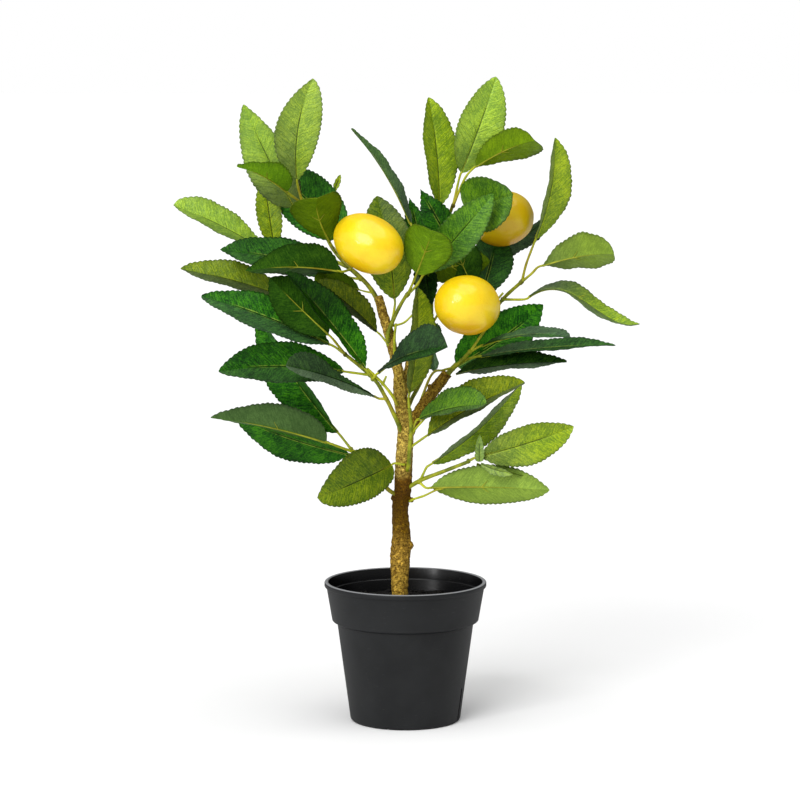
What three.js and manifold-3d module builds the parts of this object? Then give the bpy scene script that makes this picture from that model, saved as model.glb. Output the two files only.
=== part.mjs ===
// A potted lemon tree of the artificial kind: a nursery pot with its dark fill, a wrapped trunk with two side
// branches, moulded sprigs pushed into the trunk, printed fabric leaves on their petioles and moulded lemons.
// Millimetres, +Z up. The origin is the centre of the pot's underside, and the front of the tree faces -Y.
import * as THREE from "three";
import { mergeVertices } from "three/addons/utils/BufferGeometryUtils.js";
import Module from "manifold-3d";

const wasm = await Module();
wasm.setup();

// Driving dimensions of the pot
const POT_HEIGHT = 104;
const RIM_RADIUS = 60;
const LIP_HEIGHT = 4;
const LIP_DEPTH = 1.6;
const BAND_HEIGHT = 28;
const BAND_FOOT_RADIUS = 54.4;
const BODY_TOP_RADIUS = 50.6;
const BODY_FOOT_RADIUS = 41;
const CORNER = 2.5;
const WALL = 1.3;
const FLOOR = 2;
const LIP_EDGE = 0.8;
const LIP_UNDERCUT = 0.6;
const SLOT_HEIGHT = 26;
const SLOT_WIDTH = 2.4;
const NOTCH_HEIGHT = 1.2;
const NOTCH_WIDTH = 1.6;
const CUT_DEPTH = 10;
const FIRST_CUT_TURN = 71;
const FILL_TOP = 88;
const ROUND_STEPS = 48;

// Driving dimensions of the plant
const GAP = 0.3;
const TRUNK_FOOT = 30;
const TRUNK_SIDES = 10;
const LEAF_THICKNESS = 0.8;
const LEAF_STATIONS = [0, 0.08, 0.22, 0.4, 0.58, 0.76, 0.92, 1];
const LEAF_END_HALF_WIDTH = 1;
const STEM_RADIUS = 1.5;
const PETIOLE_RADIUS = 0.95;
const STEM_SIDES = 6;
const STEM_STEP = 9;
const PETIOLE_LEAD = 4;
const STALK_DEPTH = 2;
const LEMON_STEPS = 12;
const LEMON_SIDES = 18;
const LEMON_FULLNESS = 0.94;
const LEMON_TAPER = 0.05;

// The wrapped trunk and its branches: the centre line's points, each with its radius.
const TRUNK = [
  [-4, 0, TRUNK_FOOT, 6.2],
  [-4, 0, 90, 6.2],
  [-4, 0, 117, 6.1],
  [-3, 0, 138, 6.2],
  [-4, 0, 157, 6.7],
  [-3, 0, 166, 8],
  [-2, 0, 173, 6.7],
  [-1, 0, 194, 6.6],
  [0, 0, 214, 7],
  [-2, 0, 231, 6.7],
  [-4, 0, 243, 6.4],
  [-5, 0, 259, 5.6],
  [-9, 0, 275, 4.2],
  [-12, 0, 288, 4.3],
  [-16, 0, 301, 4.2],
  [-20, 0, 316, 3.5],
];
const RIGHT_BRANCH = [
  [1, 0, 212, 4.6],
  [9, 0, 228, 4.9],
  [18, 0, 242, 4.8],
  [31, 0, 259, 4.4],
];
const REAR_BRANCH = [
  [-3, 0, 238, 4],
  [2, 7, 258, 4],
  [6, 13, 279, 3.8],
  [10, 18, 306, 3.4],
];

// The lemons: the stem end, the tip end and the greatest diameter.
const LEMONS = {
  lemon_left: { stemEnd: [-49, -18, 367], tipEnd: [-5, -42, 345], diameter: 41 },
  lemon_right: { stemEnd: [64, -10, 306], tipEnd: [26, -42, 316], diameter: 43 },
  lemon_upper: { stemEnd: [48, 25, 367], tipEnd: [94, 19, 375], diameter: 41 },
};

// Leaf outlines: the powers of t and 1 - t in the half width along the midrib.
const POINTED = [0.72, 0.74];
const ROUND = [0.52, 0.5];
const FULL_BASE = [0.52, 0.8];
const FULL_TIP = [0.85, 0.5];

// The leaves. Each row holds the name, the base and the tip of the midrib, the turn of the upper side about
// the midrib in degrees (0 faces the front, 180 the back, and it grows towards the leaf's right-hand edge),
// the width, the midrib's rise towards the upper side near the base and near the tip, its sideways bow,
// the fold of each half and the twist from base to tip in degrees, the outline and the tone.
const LEAVES = [
  ["low_right_1", [20, -8, 193], [84, -20, 253], 53, 32, [5, 5], 0, 18, 0, POINTED, "light"],
  ["low_right_2", [55, -20, 200], [122, -30, 223], 15, 33, [3, 4], 0, 14, 0, POINTED, "light"],
  ["low_right_3", [19, -8, 175], [105, -26, 176], 198, 34, [3, 3], 0, 14, 0, POINTED, "light"],
  ["low_left_1", [-50, 6, 214], [-109, 22, 297], -42, 42, [4, 4], 0, 30, 0, POINTED, "dark"],
  ["low_left_2", [-58, -4, 208], [-141, -34, 230], 133, 40, [3, 3], 0, 30, 0, FULL_BASE, "dark"],
  ["low_front_1", [-10, -9, 192], [-63, -60, 175], 0, 40, [4, 5], 0, 10, 0, FULL_BASE, "mid"],
  ["front_1", [3, -12, 245], [9, -16, 323], 50, 34, [3, 3], 0, 20, 0, POINTED, "mid"],
  ["front_2", [10, -12, 226], [58, -58, 243], -51, 31, [4, 4], 0, 25, 0, FULL_TIP, "mid"],
  ["front_3", [16, -10, 214], [86, -34, 256], -54, 38, [3, 3], 0, 30, 0, POINTED, "light"],
  ["right_1", [38, 9, 263], [102, 26, 307], -10, 40, [3, 3], 3, 12, 0, FULL_BASE, "dark"],
  ["right_2", [56, -8, 280], [117, -60, 291], -78, 30, [5, 5], 0, 15, 0, FULL_TIP, "dark"],
  ["right_3", [55, 2, 271], [153, -14, 281], -68, 30, [2, 2], 0, 15, 0, POINTED, "dark"],
  ["far_right_1", [96, 12, 357], [109, 4, 431], 55, 37, [3, 3], 3, 22, 0, POINTED, "light"],
  ["far_right_2", [101, 12, 337], [152, -6, 347], 212, 36, [4, 4], 0, 18, 0, FULL_TIP, "light"],
  ["far_right_3", [91, 14, 314], [171, -8, 296], -70, 27, [24, -11], 0, 15, 20, FULL_BASE, "mid"],
  ["centre_1", [-8, 2, 313], [-21, 14, 388], 0, 38, [3, 3], 2, 12, 0, POINTED, "mid"],
  ["centre_2", [8, -17, 333], [19, -58, 367], 172, 38, [4, 5], 0, 12, 0, ROUND, "mid"],
  ["centre_3", [15, -8, 334], [63, -36, 392], 0, 30, [3, 4], 0, 12, 0, POINTED, "mid"],
  ["left_1", [-55, -12, 281], [-149, -6, 316], 43, 34, [4, 4], 0, 15, 0, POINTED, "dark"],
  ["left_2", [-56, -21, 289], [-98, -27, 331], 195, 38, [3, 3], 0, 14, 0, POINTED, "dark"],
  ["left_3", [-29, -20, 264], [-86, -38, 336], 50, 34, [3, 3], -1, 34, 0, POINTED, "dark"],
  ["left_4", [-45, -18, 262], [-134, -52, 266], 45, 40, [3, 3], 2, 16, 0, POINTED, "dark"],
  ["left_5", [-22, -14, 243], [-85, -62, 271], 48, 28, [4, 4], 0, 25, 0, FULL_TIP, "dark"],
  ["left_6", [-20, -20, 261], [30, -60, 284], -52, 40, [6, 6], 0, 35, 0, FULL_TIP, "dark"],
  ["upper_left_1", [-82, 16, 380], [-118, 4, 455], -20, 38, [3, 3], 0, 14, 0, FULL_BASE, "light"],
  ["upper_left_2", [-79, 0, 400], [-67, -14, 474], 0, 34, [3, 3], -5, 12, 0, FULL_TIP, "light"],
  ["upper_left_3", [-86, -8, 392], [-120, -48, 412], 122, 32, [3, 3], 0, 30, 0, FULL_BASE, "mid"],
  ["upper_left_4", [-49, -12, 335], [-114, -52, 338], 134, 40, [4, 4], 0, 22, 0, FULL_BASE, "dark"],
  ["upper_left_5", [-55, -14, 356], [-63, -58, 390], 180, 40, [4, 5], 3, 16, 0, FULL_TIP, "dark"],
  ["upper_left_6", [-44, 20, 359], [-92, 48, 401], 0, 43, [4, 4], 0, 12, 0, ROUND, "dark"],
  ["upper_left_7", [-44, 16, 329], [-136, 8, 349], 46, 35, [4, 4], 0, 15, 0, POINTED, "dark"],
  ["back_left_1", [-105, 30, 347], [-171, 22, 381], 48, 30, [3, 3], 0, 25, 0, POINTED, "light"],
  ["back_left_2", [-88, 26, 312], [-166, 20, 334], 48, 30, [3, 3], 0, 25, 0, POINTED, "light"],
  ["upper_right_1", [25, 10, 381], [17, 18, 460], 38, 34, [3, 3], 0, 20, 0, POINTED, "light"],
  ["upper_right_2", [41, 12, 405], [66, 6, 475], 15, 36, [3, 3], 0, 12, 0, POINTED, "light"],
  ["upper_right_3", [52, 8, 410], [93, -22, 430], 212, 34, [4, 4], 0, 18, 0, FULL_TIP, "mid"],
  ["upper_right_4", [43, 2, 380], [77, -32, 391], 0, 43, [4, 5], 0, 14, 0, ROUND, "dark"],
  ["upper_right_5", [4, 6, 368], [-40, 24, 437], 75, 32, [4, 4], 0, 15, 0, POINTED, "dark"],
  ["rear_1", [12, 52, 338], [-36, 90, 358], 110, 36, [6, 6], 0, 14, 0, POINTED, "dark"],
  ["rear_2", [28, 54, 336], [74, 92, 352], -110, 36, [6, 6], 0, 14, 0, POINTED, "dark"],
  ["rear_3", [28, 50, 304], [60, 96, 322], -110, 34, [6, 6], 0, 14, 0, POINTED, "mid"],
  ["rear_4", [15, 40, 262], [16, 104, 280], 90, 34, [6, 6], 0, 14, 0, POINTED, "dark"],
];

// The sprigs. A sprig is one moulding: stems with a point every bend, petioles that leave a stem at a point,
// pass any further points and end at a leaf, and fruit stalks that end at a lemon's stem end.
const SPRIGS = {
  low_right: {
    stems: [[[-2, 0, 171], [11, -6, 180], [29, -12, 188], [47, -18, 196]]],
    petioles: {
      low_right_1: [[11, -6, 180], [15, -7, 189]],
      low_right_2: [[46, -18, 196]],
      low_right_3: [[10, -6, 179]],
    },
  },
  low_left: {
    stems: [[[-3, 0, 167], [-12, -2, 172], [-20, -1, 181], [-30, 0, 192], [-41, 2, 203]]],
    petioles: { low_left_1: [[-40, 2, 202]], low_left_2: [[-38, 1, 200]] },
  },
  low_front: {
    stems: [],
    petioles: { low_front_1: [[-1, 0, 192], [-1, -8, 192]] },
  },
  front: {
    stems: [[[0, 0, 186], [2, -8, 190], [3, -11, 203], [4, -12, 220], [3, -13, 234]]],
    petioles: {
      front_1: [[3, -13, 233]],
      front_2: [[4, -12, 216]],
      front_3: [[3, -11, 205]],
    },
  },
  right: {
    stems: [[[30, 0, 256], [34, 0, 261], [41, -2, 268], [48, -6, 276]]],
    petioles: {
      right_1: [[35, 0, 262]],
      right_2: [[47, -6, 275]],
      right_3: [[41, -2, 268]],
    },
    stalks: { lemon_right: [[48, -6, 276]] },
  },
  far_right: {
    stems: [[[24, 0, 251], [34, 16, 260], [48, 28, 274], [60, 30, 293], [72, 24, 311], [86, 17, 325]]],
    petioles: {
      far_right_1: [[86, 17, 325], [89, 15, 338]],
      far_right_2: [[85, 17, 324], [93, 14, 331]],
      far_right_3: [[72, 24, 311]],
    },
  },
  centre: {
    stems: [[[-12, 0, 280], [-13, -6, 286], [-11, -7, 294], [-4, -8, 309], [2, -10, 319]]],
    petioles: {
      centre_1: [[-10, -7, 296]],
      centre_2: [[2, -10, 318]],
      centre_3: [[1, -10, 317], [8, -11, 324]],
    },
  },
  left: {
    stems: [[[-1, 0, 211], [-7, -8, 226], [-15, -11, 243], [-24, -14, 257], [-45, -14, 275]]],
    petioles: {
      left_1: [[-44, -14, 274]],
      left_2: [[-44, -14, 274]],
      left_3: [[-24, -14, 257]],
      left_4: [[-26, -15, 259]],
      left_5: [[-14, -11, 241]],
      left_6: [[-24, -14, 256]],
    },
  },
  upper_left: {
    stems: [[[-20, 0, 312], [-28, 1, 324], [-40, 4, 335], [-53, 12, 349], [-63, 15, 367], [-72, 9, 376]]],
    petioles: {
      upper_left_1: [[-71, 10, 375]],
      upper_left_2: [[-72, 9, 375], [-76, 6, 386]],
      upper_left_3: [[-71, 10, 375], [-77, 2, 384]],
      upper_left_4: [[-40, 4, 335]],
      upper_left_5: [[-51, 11, 347], [-52, 2, 350]],
      upper_left_6: [[-47, 8, 343]],
      upper_left_7: [[-33, 2, 328], [-38, 7, 328]],
    },
    stalks: { lemon_left: [[-58, 14, 358], [-56, 0, 366]] },
  },
  back_left: {
    stems: [[[-18, 0, 309], [-27, 10, 322], [-42, 18, 335], [-62, 28, 341], [-84, 32, 338], [-98, 31, 343]]],
    petioles: { back_left_1: [[-97, 31, 343]], back_left_2: [[-82, 32, 338], [-80, 30, 320]] },
  },
  upper_right: {
    stems: [[[10, 18, 303], [14, 20, 329], [23, 18, 355], [32, 15, 374], [35, 13, 382]]],
    petioles: {
      upper_right_1: [[25, 18, 360]],
      upper_right_2: [[35, 13, 381]],
      upper_right_3: [[35, 13, 381], [43, 11, 400]],
      upper_right_4: [[32, 15, 373], [36, 6, 374]],
      upper_right_5: [[18, 19, 344], [9, 12, 355]],
    },
    stalks: { lemon_upper: [[23, 18, 355], [38, 14, 361]] },
  },
  rear: {
    stems: [[[-2, 0, 222], [4, 18, 236], [14, 30, 256], [19, 42, 290], [20, 48, 322]]],
    petioles: {
      rear_1: [[20, 48, 321]],
      rear_2: [[20, 48, 321]],
      rear_3: [[19, 42, 290]],
      rear_4: [[12, 28, 252]],
    },
  },
};

// The looks of each material
const MATERIALS = {
  potPlastic: new THREE.MeshStandardMaterial({ color: 0x2f3032, roughness: 0.5, metalness: 0 }),
  filling: new THREE.MeshStandardMaterial({ color: 0x17150f, roughness: 0.95, metalness: 0 }),
  bark: new THREE.MeshStandardMaterial({ color: 0x9a7434, roughness: 0.85, metalness: 0 }),
  stemPlastic: new THREE.MeshStandardMaterial({ color: 0x8f9a2c, roughness: 0.55, metalness: 0 }),
  lemonSkin: new THREE.MeshStandardMaterial({ color: 0xf2cf1f, roughness: 0.3, metalness: 0 }),
  dark: new THREE.MeshStandardMaterial({ color: 0x1f4d1d, roughness: 0.5, metalness: 0 }),
  mid: new THREE.MeshStandardMaterial({ color: 0x3f7a1e, roughness: 0.5, metalness: 0 }),
  light: new THREE.MeshStandardMaterial({ color: 0x7ba428, roughness: 0.5, metalness: 0 }),
};

const toVector = (values) => new THREE.Vector3(values[0], values[1], values[2]);
const toRadians = THREE.MathUtils.degToRad;
const FRONT = new THREE.Vector3(0, -1, 0);

// A three.js geometry as a manifold solid, and back.
function toSolid(geometry) {
  const bare = geometry.clone();
  bare.deleteAttribute("normal");
  bare.deleteAttribute("uv");
  const merged = mergeVertices(bare, 1e-3);
  const vertProperties = merged.attributes.position.array;
  const triVerts = new Uint32Array(merged.index.array);
  return new wasm.Manifold(new wasm.Mesh({ numProp: 3, vertProperties, triVerts }));
}

function toGeometry(solid) {
  const mesh = solid.getMesh();
  const geometry = new THREE.BufferGeometry();
  geometry.setAttribute("position", new THREE.BufferAttribute(mesh.vertProperties, 3));
  geometry.setIndex(new THREE.BufferAttribute(mesh.triVerts, 1));
  geometry.computeVertexNormals();
  return geometry;
}

function join(solids) {
  return solids.reduce((whole, solid) => whole.add(solid));
}

// A closed skin over rings of points. Each ring turns the same way round, seen from the last ring.
function skin(rings) {
  const count = rings[0].length;
  const positions = rings.flat().flatMap((point) => point.toArray());
  const index = [];
  for (let ring = 0; ring + 1 < rings.length; ring += 1) {
    for (let side = 0; side < count; side += 1) {
      const here = ring * count + side;
      const next = ring * count + ((side + 1) % count);
      index.push(here, next, next + count, here, next + count, here + count);
    }
  }
  const last = (rings.length - 1) * count;
  for (let side = 1; side + 1 < count; side += 1) {
    index.push(0, side + 1, side, last, last + side, last + side + 1);
  }
  const geometry = new THREE.BufferGeometry();
  geometry.setAttribute("position", new THREE.Float32BufferAttribute(positions, 3));
  geometry.setIndex(index);
  return geometry;
}

// A limb of the trunk: rings square to the centre line, which is a curve through the given points.
function limb(points, extraRadius) {
  const curve = new THREE.CatmullRomCurve3(points.map(toVector));
  const up = new THREE.Vector3(0, -1, 0);
  const rings = [];
  const steps = (points.length - 1) * 2;
  for (let step = 0; step <= steps; step += 1) {
    const place = step / steps;
    const centre = curve.getPoint(place);
    const along = curve.getTangent(place);
    const across = new THREE.Vector3().crossVectors(up, along).normalize();
    const other = new THREE.Vector3().crossVectors(along, across);
    const low = Math.floor(step / 2);
    const high = Math.ceil(step / 2);
    const radius = (points[low][3] + points[high][3]) / 2 + extraRadius;
    const ring = [];
    for (let side = 0; side < TRUNK_SIDES; side += 1) {
      const angle = (2 * Math.PI * side) / TRUNK_SIDES;
      const point = centre.clone();
      point.addScaledVector(across, radius * Math.cos(angle));
      point.addScaledVector(other, radius * Math.sin(angle));
      ring.push(point);
    }
    rings.push(ring);
  }
  return toSolid(skin(rings));
}

function trunkSolid(extraRadius) {
  return join([TRUNK, RIGHT_BRANCH, REAR_BRANCH].map((points) => limb(points, extraRadius)));
}

// The half width of a leaf at place t along its midrib, where the greatest half width is 1.
function outlineAt([basePower, tipPower], t) {
  const widest = basePower / (basePower + tipPower);
  const most = widest ** basePower * (1 - widest) ** tipPower;
  return (t ** basePower * (1 - t) ** tipPower) / most;
}

function leafShape([name, base, tip, turn, width, rise, bow, fold, twist, outline, tone]) {
  const start = toVector(base);
  const along = toVector(tip).sub(start);
  const length = along.length();
  along.normalize();
  const normal = FRONT.clone().addScaledVector(along, -FRONT.dot(along)).normalize();
  normal.applyAxisAngle(along, toRadians(turn));
  const side = new THREE.Vector3().crossVectors(along, normal);
  return { name, start, along, normal, side, length, width, rise, bow, fold, twist, outline, tone };
}

// The midrib's point at t: the chord, bowed towards the upper side and sideways.
function midribPoint(leaf, t) {
  const hump = 4 * t * (1 - t);
  const lift = hump * (leaf.rise[0] * (1 - t) + leaf.rise[1] * t);
  const point = leaf.start.clone().addScaledVector(leaf.along, GAP / 2 + (leaf.length - GAP / 2) * t);
  return point.addScaledVector(leaf.normal, lift).addScaledVector(leaf.side, hump * leaf.bow);
}

function midribDirection(leaf, t) {
  const small = 0.01;
  return midribPoint(leaf, t + small).sub(midribPoint(leaf, t)).normalize();
}

// A leaf is a thin plate: two halves that rise from the midrib by the fold.
function leafGeometry(leaf) {
  const rings = LEAF_STATIONS.map((t) => {
    const centre = midribPoint(leaf, t);
    const turn = toRadians(leaf.twist) * (t - 0.5);
    const side = leaf.side.clone().applyAxisAngle(leaf.along, turn);
    const normal = leaf.normal.clone().applyAxisAngle(leaf.along, turn);
    const half = Math.max((leaf.width / 2) * outlineAt(leaf.outline, t), LEAF_END_HALF_WIDTH);
    const out = half * Math.cos(toRadians(leaf.fold));
    const up = half * Math.sin(toRadians(leaf.fold));
    const corner = (across, level) =>
      centre
        .clone()
        .addScaledVector(side, across * out)
        .addScaledVector(normal, Math.abs(across) * up + (level * LEAF_THICKNESS) / 2);
    return [corner(-1, 1), corner(0, 1), corner(1, 1), corner(1, -1), corner(0, -1), corner(-1, -1)];
  });
  return skin(rings);
}

// A round stem along a curve through the points.
function stemSolid(points, radius) {
  const curve = new THREE.CatmullRomCurve3(points);
  const section = new THREE.Shape();
  for (let side = 0; side < STEM_SIDES; side += 1) {
    const angle = (2 * Math.PI * side) / STEM_SIDES;
    const corner = [radius * Math.cos(angle), radius * Math.sin(angle)];
    if (side === 0) section.moveTo(...corner);
    else section.lineTo(...corner);
  }
  const steps = Math.max(points.length, Math.ceil(curve.getLength() / STEM_STEP));
  const geometry = new THREE.ExtrudeGeometry(section, { steps, extrudePath: curve, curveSegments: 1 });
  return toSolid(geometry);
}

// A petiole meets its leaf in line with the midrib, with the gap between them.
function petioleSolid(leaf, route) {
  const direction = midribDirection(leaf, 0);
  const end = leaf.start.clone().addScaledVector(direction, -GAP / 2);
  const lead = end.clone().addScaledVector(direction, -PETIOLE_LEAD);
  return stemSolid([...route.map(toVector), lead, end], PETIOLE_RADIUS);
}

// A lemon: a closed lathe along its own axis, a little fuller towards one end.
function lemonSolid({ stemEnd, tipEnd, diameter }, extra) {
  const start = toVector(stemEnd);
  const axis = toVector(tipEnd).sub(start);
  const length = axis.length();
  axis.normalize();
  const profile = [];
  for (let step = 0; step <= LEMON_STEPS; step += 1) {
    const angle = (Math.PI * step) / LEMON_STEPS;
    const height = (length / 2 + extra) * (1 - Math.cos(angle)) - extra;
    const round = Math.sin(angle) ** LEMON_FULLNESS * (1 - LEMON_TAPER * Math.cos(angle) ** 3);
    const radius = step === 0 || step === LEMON_STEPS ? 0 : (diameter / 2 + extra) * round;
    profile.push(new THREE.Vector2(radius, height));
  }
  const geometry = new THREE.LatheGeometry(profile, LEMON_SIDES);
  geometry.applyQuaternion(new THREE.Quaternion().setFromUnitVectors(new THREE.Vector3(0, 1, 0), axis));
  geometry.translate(start.x, start.y, start.z);
  return toSolid(geometry);
}

// The stalk stops at the lemon, because the lemon with the gap around it is cut away from it.
function stalkSolid(lemon, route) {
  const start = toVector(lemon.stemEnd);
  const inward = toVector(lemon.tipEnd).sub(start).normalize();
  const lead = start.clone().addScaledVector(inward, -PETIOLE_LEAD);
  const end = start.clone().addScaledVector(inward, STALK_DEPTH);
  return stemSolid([...route.map(toVector), lead, end], PETIOLE_RADIUS);
}

function sprigSolid({ stems, petioles, stalks = {} }, leaves, trunkWithGap) {
  const solids = stems.map((points) => stemSolid(points.map(toVector), STEM_RADIUS));
  for (const [name, route] of Object.entries(petioles)) {
    solids.push(petioleSolid(leaves.get(name), route));
  }
  for (const [name, route] of Object.entries(stalks)) {
    solids.push(stalkSolid(LEMONS[name], route).subtract(lemonSolid(LEMONS[name], GAP)));
  }
  return join(solids).subtract(trunkWithGap);
}

// A full turn of a profile of [radius, height] pairs about the pot's axis.
function turned(profile) {
  const points = profile.map(([radius, height]) => new THREE.Vector2(radius, height));
  const geometry = new THREE.LatheGeometry([...points, points[0]], ROUND_STEPS);
  return toSolid(geometry.rotateX(Math.PI / 2));
}

// A box that cuts the pot's foot from the underside up to a height, at a turn in degrees about the pot's axis.
function footCut(width, height, turn) {
  const box = new THREE.BoxGeometry(width, CUT_DEPTH, 2 * height);
  box.translate(0, -BODY_FOOT_RADIUS, 0);
  return toSolid(box.rotateZ(toRadians(turn)));
}

// Two drain slots in the body face each other, with a drain notch in the foot halfway between them on each side.
function potSolid() {
  const bandFoot = POT_HEIGHT - BAND_HEIGHT;
  const lipFoot = POT_HEIGHT - LIP_HEIGHT;
  const shell = turned([
    [0, FLOOR],
    [0, 0],
    [BODY_FOOT_RADIUS - CORNER / 2, 0],
    [BODY_FOOT_RADIUS, CORNER],
    [BODY_TOP_RADIUS, bandFoot - CORNER],
    [BAND_FOOT_RADIUS - CORNER / 2, bandFoot - CORNER / 2],
    [BAND_FOOT_RADIUS, bandFoot + CORNER / 2],
    [RIM_RADIUS - LIP_DEPTH, lipFoot],
    [RIM_RADIUS, lipFoot + LIP_UNDERCUT],
    [RIM_RADIUS, POT_HEIGHT - LIP_EDGE],
    [RIM_RADIUS - LIP_EDGE, POT_HEIGHT],
    [RIM_RADIUS - LIP_DEPTH - WALL, POT_HEIGHT],
    [RIM_RADIUS - LIP_DEPTH - WALL - LIP_UNDERCUT, POT_HEIGHT - LIP_EDGE],
    [BAND_FOOT_RADIUS - WALL, bandFoot + CORNER / 2],
    [BODY_TOP_RADIUS - WALL, bandFoot],
    [BODY_FOOT_RADIUS - WALL, FLOOR + CORNER],
    [BODY_FOOT_RADIUS - WALL - CORNER / 2, FLOOR],
  ]);
  const cuts = [0, 180].flatMap((turn) => [
    footCut(SLOT_WIDTH, SLOT_HEIGHT, FIRST_CUT_TURN + turn),
    footCut(NOTCH_WIDTH, NOTCH_HEIGHT, FIRST_CUT_TURN + turn + 90),
  ]);
  return shell.subtract(join(cuts));
}

// The fill stands on the pot's floor, and the trunk stands in it.
function fillSolid(trunkWithGap) {
  const bandFoot = POT_HEIGHT - BAND_HEIGHT;
  const bandSlope = (RIM_RADIUS - LIP_DEPTH - BAND_FOOT_RADIUS) / (BAND_HEIGHT - LIP_HEIGHT);
  const topRadius = BAND_FOOT_RADIUS + bandSlope * (FILL_TOP - bandFoot - 2) - WALL - 2 * GAP;
  const body = turned([
    [0, FLOOR + GAP],
    [BODY_FOOT_RADIUS - WALL - CORNER / 2 - GAP, FLOOR + GAP],
    [BODY_FOOT_RADIUS - WALL - GAP, FLOOR + CORNER + GAP],
    [BODY_TOP_RADIUS - WALL - GAP, bandFoot],
    [BAND_FOOT_RADIUS - WALL - 2 * GAP, bandFoot + CORNER],
    [topRadius, FILL_TOP],
    [0, FILL_TOP],
  ]);
  return body.subtract(trunkWithGap);
}

function addPiece(group, name, geometry, material) {
  const mesh = new THREE.Mesh(geometry, material);
  mesh.name = name;
  group.add(mesh);
}

const tree = new THREE.Group();
const trunkWithGap = trunkSolid(GAP);
const leaves = new Map(LEAVES.map((row) => [row[0], leafShape(row)]));

addPiece(tree, "pot", toGeometry(potSolid()), MATERIALS.potPlastic);
addPiece(tree, "potting_fill", toGeometry(fillSolid(trunkWithGap)), MATERIALS.filling);
addPiece(tree, "trunk", toGeometry(trunkSolid(0)), MATERIALS.bark);
for (const [name, sprig] of Object.entries(SPRIGS)) {
  const geometry = toGeometry(sprigSolid(sprig, leaves, trunkWithGap));
  addPiece(tree, "sprig_" + name, geometry, MATERIALS.stemPlastic);
}
for (const [name, lemon] of Object.entries(LEMONS)) {
  addPiece(tree, name, toGeometry(lemonSolid(lemon, 0)), MATERIALS.lemonSkin);
}
for (const leaf of leaves.values()) {
  addPiece(tree, "leaf_" + leaf.name, leafGeometry(leaf), MATERIALS[leaf.tone]);
}

export default tree;
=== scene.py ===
"""A potted lemon tree of the artificial kind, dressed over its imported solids.

Tables and helper functions work in millimetres, +Z up, front towards -Y. Meshes are stored in metres.
Every solid of the frame is replaced by a finer piece in the same place. Pieces that are too small or too
many to be solids of their own come on top: small leaves, thin stems, calyxes and the chips on the fill.
"""

import random
from math import atan2, cos, exp, hypot, pi, radians, sin, sqrt

import bpy
import numpy as np
from mathutils import Matrix, Vector, noise


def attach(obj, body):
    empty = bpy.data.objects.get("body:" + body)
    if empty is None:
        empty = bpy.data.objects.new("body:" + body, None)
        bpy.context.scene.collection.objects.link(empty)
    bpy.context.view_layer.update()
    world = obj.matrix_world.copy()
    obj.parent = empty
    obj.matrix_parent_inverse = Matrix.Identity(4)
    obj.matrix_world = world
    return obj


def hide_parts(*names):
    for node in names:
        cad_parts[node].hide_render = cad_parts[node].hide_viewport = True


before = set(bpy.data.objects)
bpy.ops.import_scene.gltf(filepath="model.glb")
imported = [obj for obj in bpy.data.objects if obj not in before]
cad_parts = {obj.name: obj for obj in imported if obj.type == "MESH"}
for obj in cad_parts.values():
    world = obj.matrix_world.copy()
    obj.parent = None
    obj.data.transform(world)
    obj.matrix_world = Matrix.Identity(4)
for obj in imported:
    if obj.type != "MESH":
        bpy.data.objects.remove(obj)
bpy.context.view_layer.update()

MM = 0.001
SEED = 7
noise.seed_set(SEED)

# The camera: where it stands, how far it looks down and its lens.
CAMERA_PLACE = (-4, -2166, 496)
CAMERA_PITCH = 6.77
SENSOR_WIDTH = 36
LENS = 133.47
FAR_CLIP = 100

# The pot
POT_HEIGHT = 104
RIM_RADIUS = 60
LIP_HEIGHT = 4
LIP_DEPTH = 1.6
LIP_ROUND = 1.2
BAND_HEIGHT = 28
BAND_FOOT = POT_HEIGHT - BAND_HEIGHT
BAND_FOOT_RADIUS = 54.4
BAND_SLOPE = (RIM_RADIUS - LIP_DEPTH - BAND_FOOT_RADIUS) / (BAND_HEIGHT - LIP_HEIGHT)
BODY_TOP_RADIUS = 50.6
BODY_FOOT_RADIUS = 41
CORNER = 2.5
WALL = 1.3
FLOOR = 2
LEDGE_DROP = 9
LEDGE_WIDTH = 0.7
SLOT_HEIGHT = 26
SLOT_WIDTH = 2.4
NOTCH_HEIGHT = 1.2
NOTCH_WIDTH = 1.6
FIRST_CUT_TURN = 71
CUT_REACH = 5
POT_SIDES = 192
SHARP_ANGLE = 32

# The fill and the loose chips on it
FILL_TOP = 88
FILL_RINGS = 47
FILL_SIDES = 150
CHIPS = 320
CHIP_SIDES = 7
CHIP_FREE_RADIUS = 8

# The leaves. ACROSS holds the places of the mesh's columns as parts of the half width, and RIB_END and
# SIDE_RIB_AT are parts of the length.
LEAF_THICKNESS = 0.5
TOOTH_PITCH = 3.6
TOOTH_DEPTH = 0.9
STATION_STEP = 0.6
ACROSS = [0, 0.03, 0.07, 0.15, 0.28, 0.43, 0.58, 0.72, 0.84, 0.93, 1]
RIB_RADIUS = 0.75
RIB_END = 0.72
SIDE_RIB_AT = 0.42
SIDE_RIB_LENGTH = 5

# Their cloth: millimetres to a unit of its UV layer, the range of its mottling, and its veins and weave.
CLOTH_SPAN = 100
MOTTLE = (0.58, 0.92)
VEIN_SPACING = 5.2
VEIN_LEAN = 0.8
CLOTH_RIB = 1.15

# The wood, the stems and the fruit
GAP = 0.3
STEM_RADIUS = 1.5
PETIOLE_RADIUS = 0.95
PETIOLE_LEAD = 4
LEMON_RINGS = 57
LEMON_SIDES = 72
TRUNK_SIDES = 40
TRUNK_VOXEL = 0.55
TAPE_PITCH = 5.2

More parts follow.
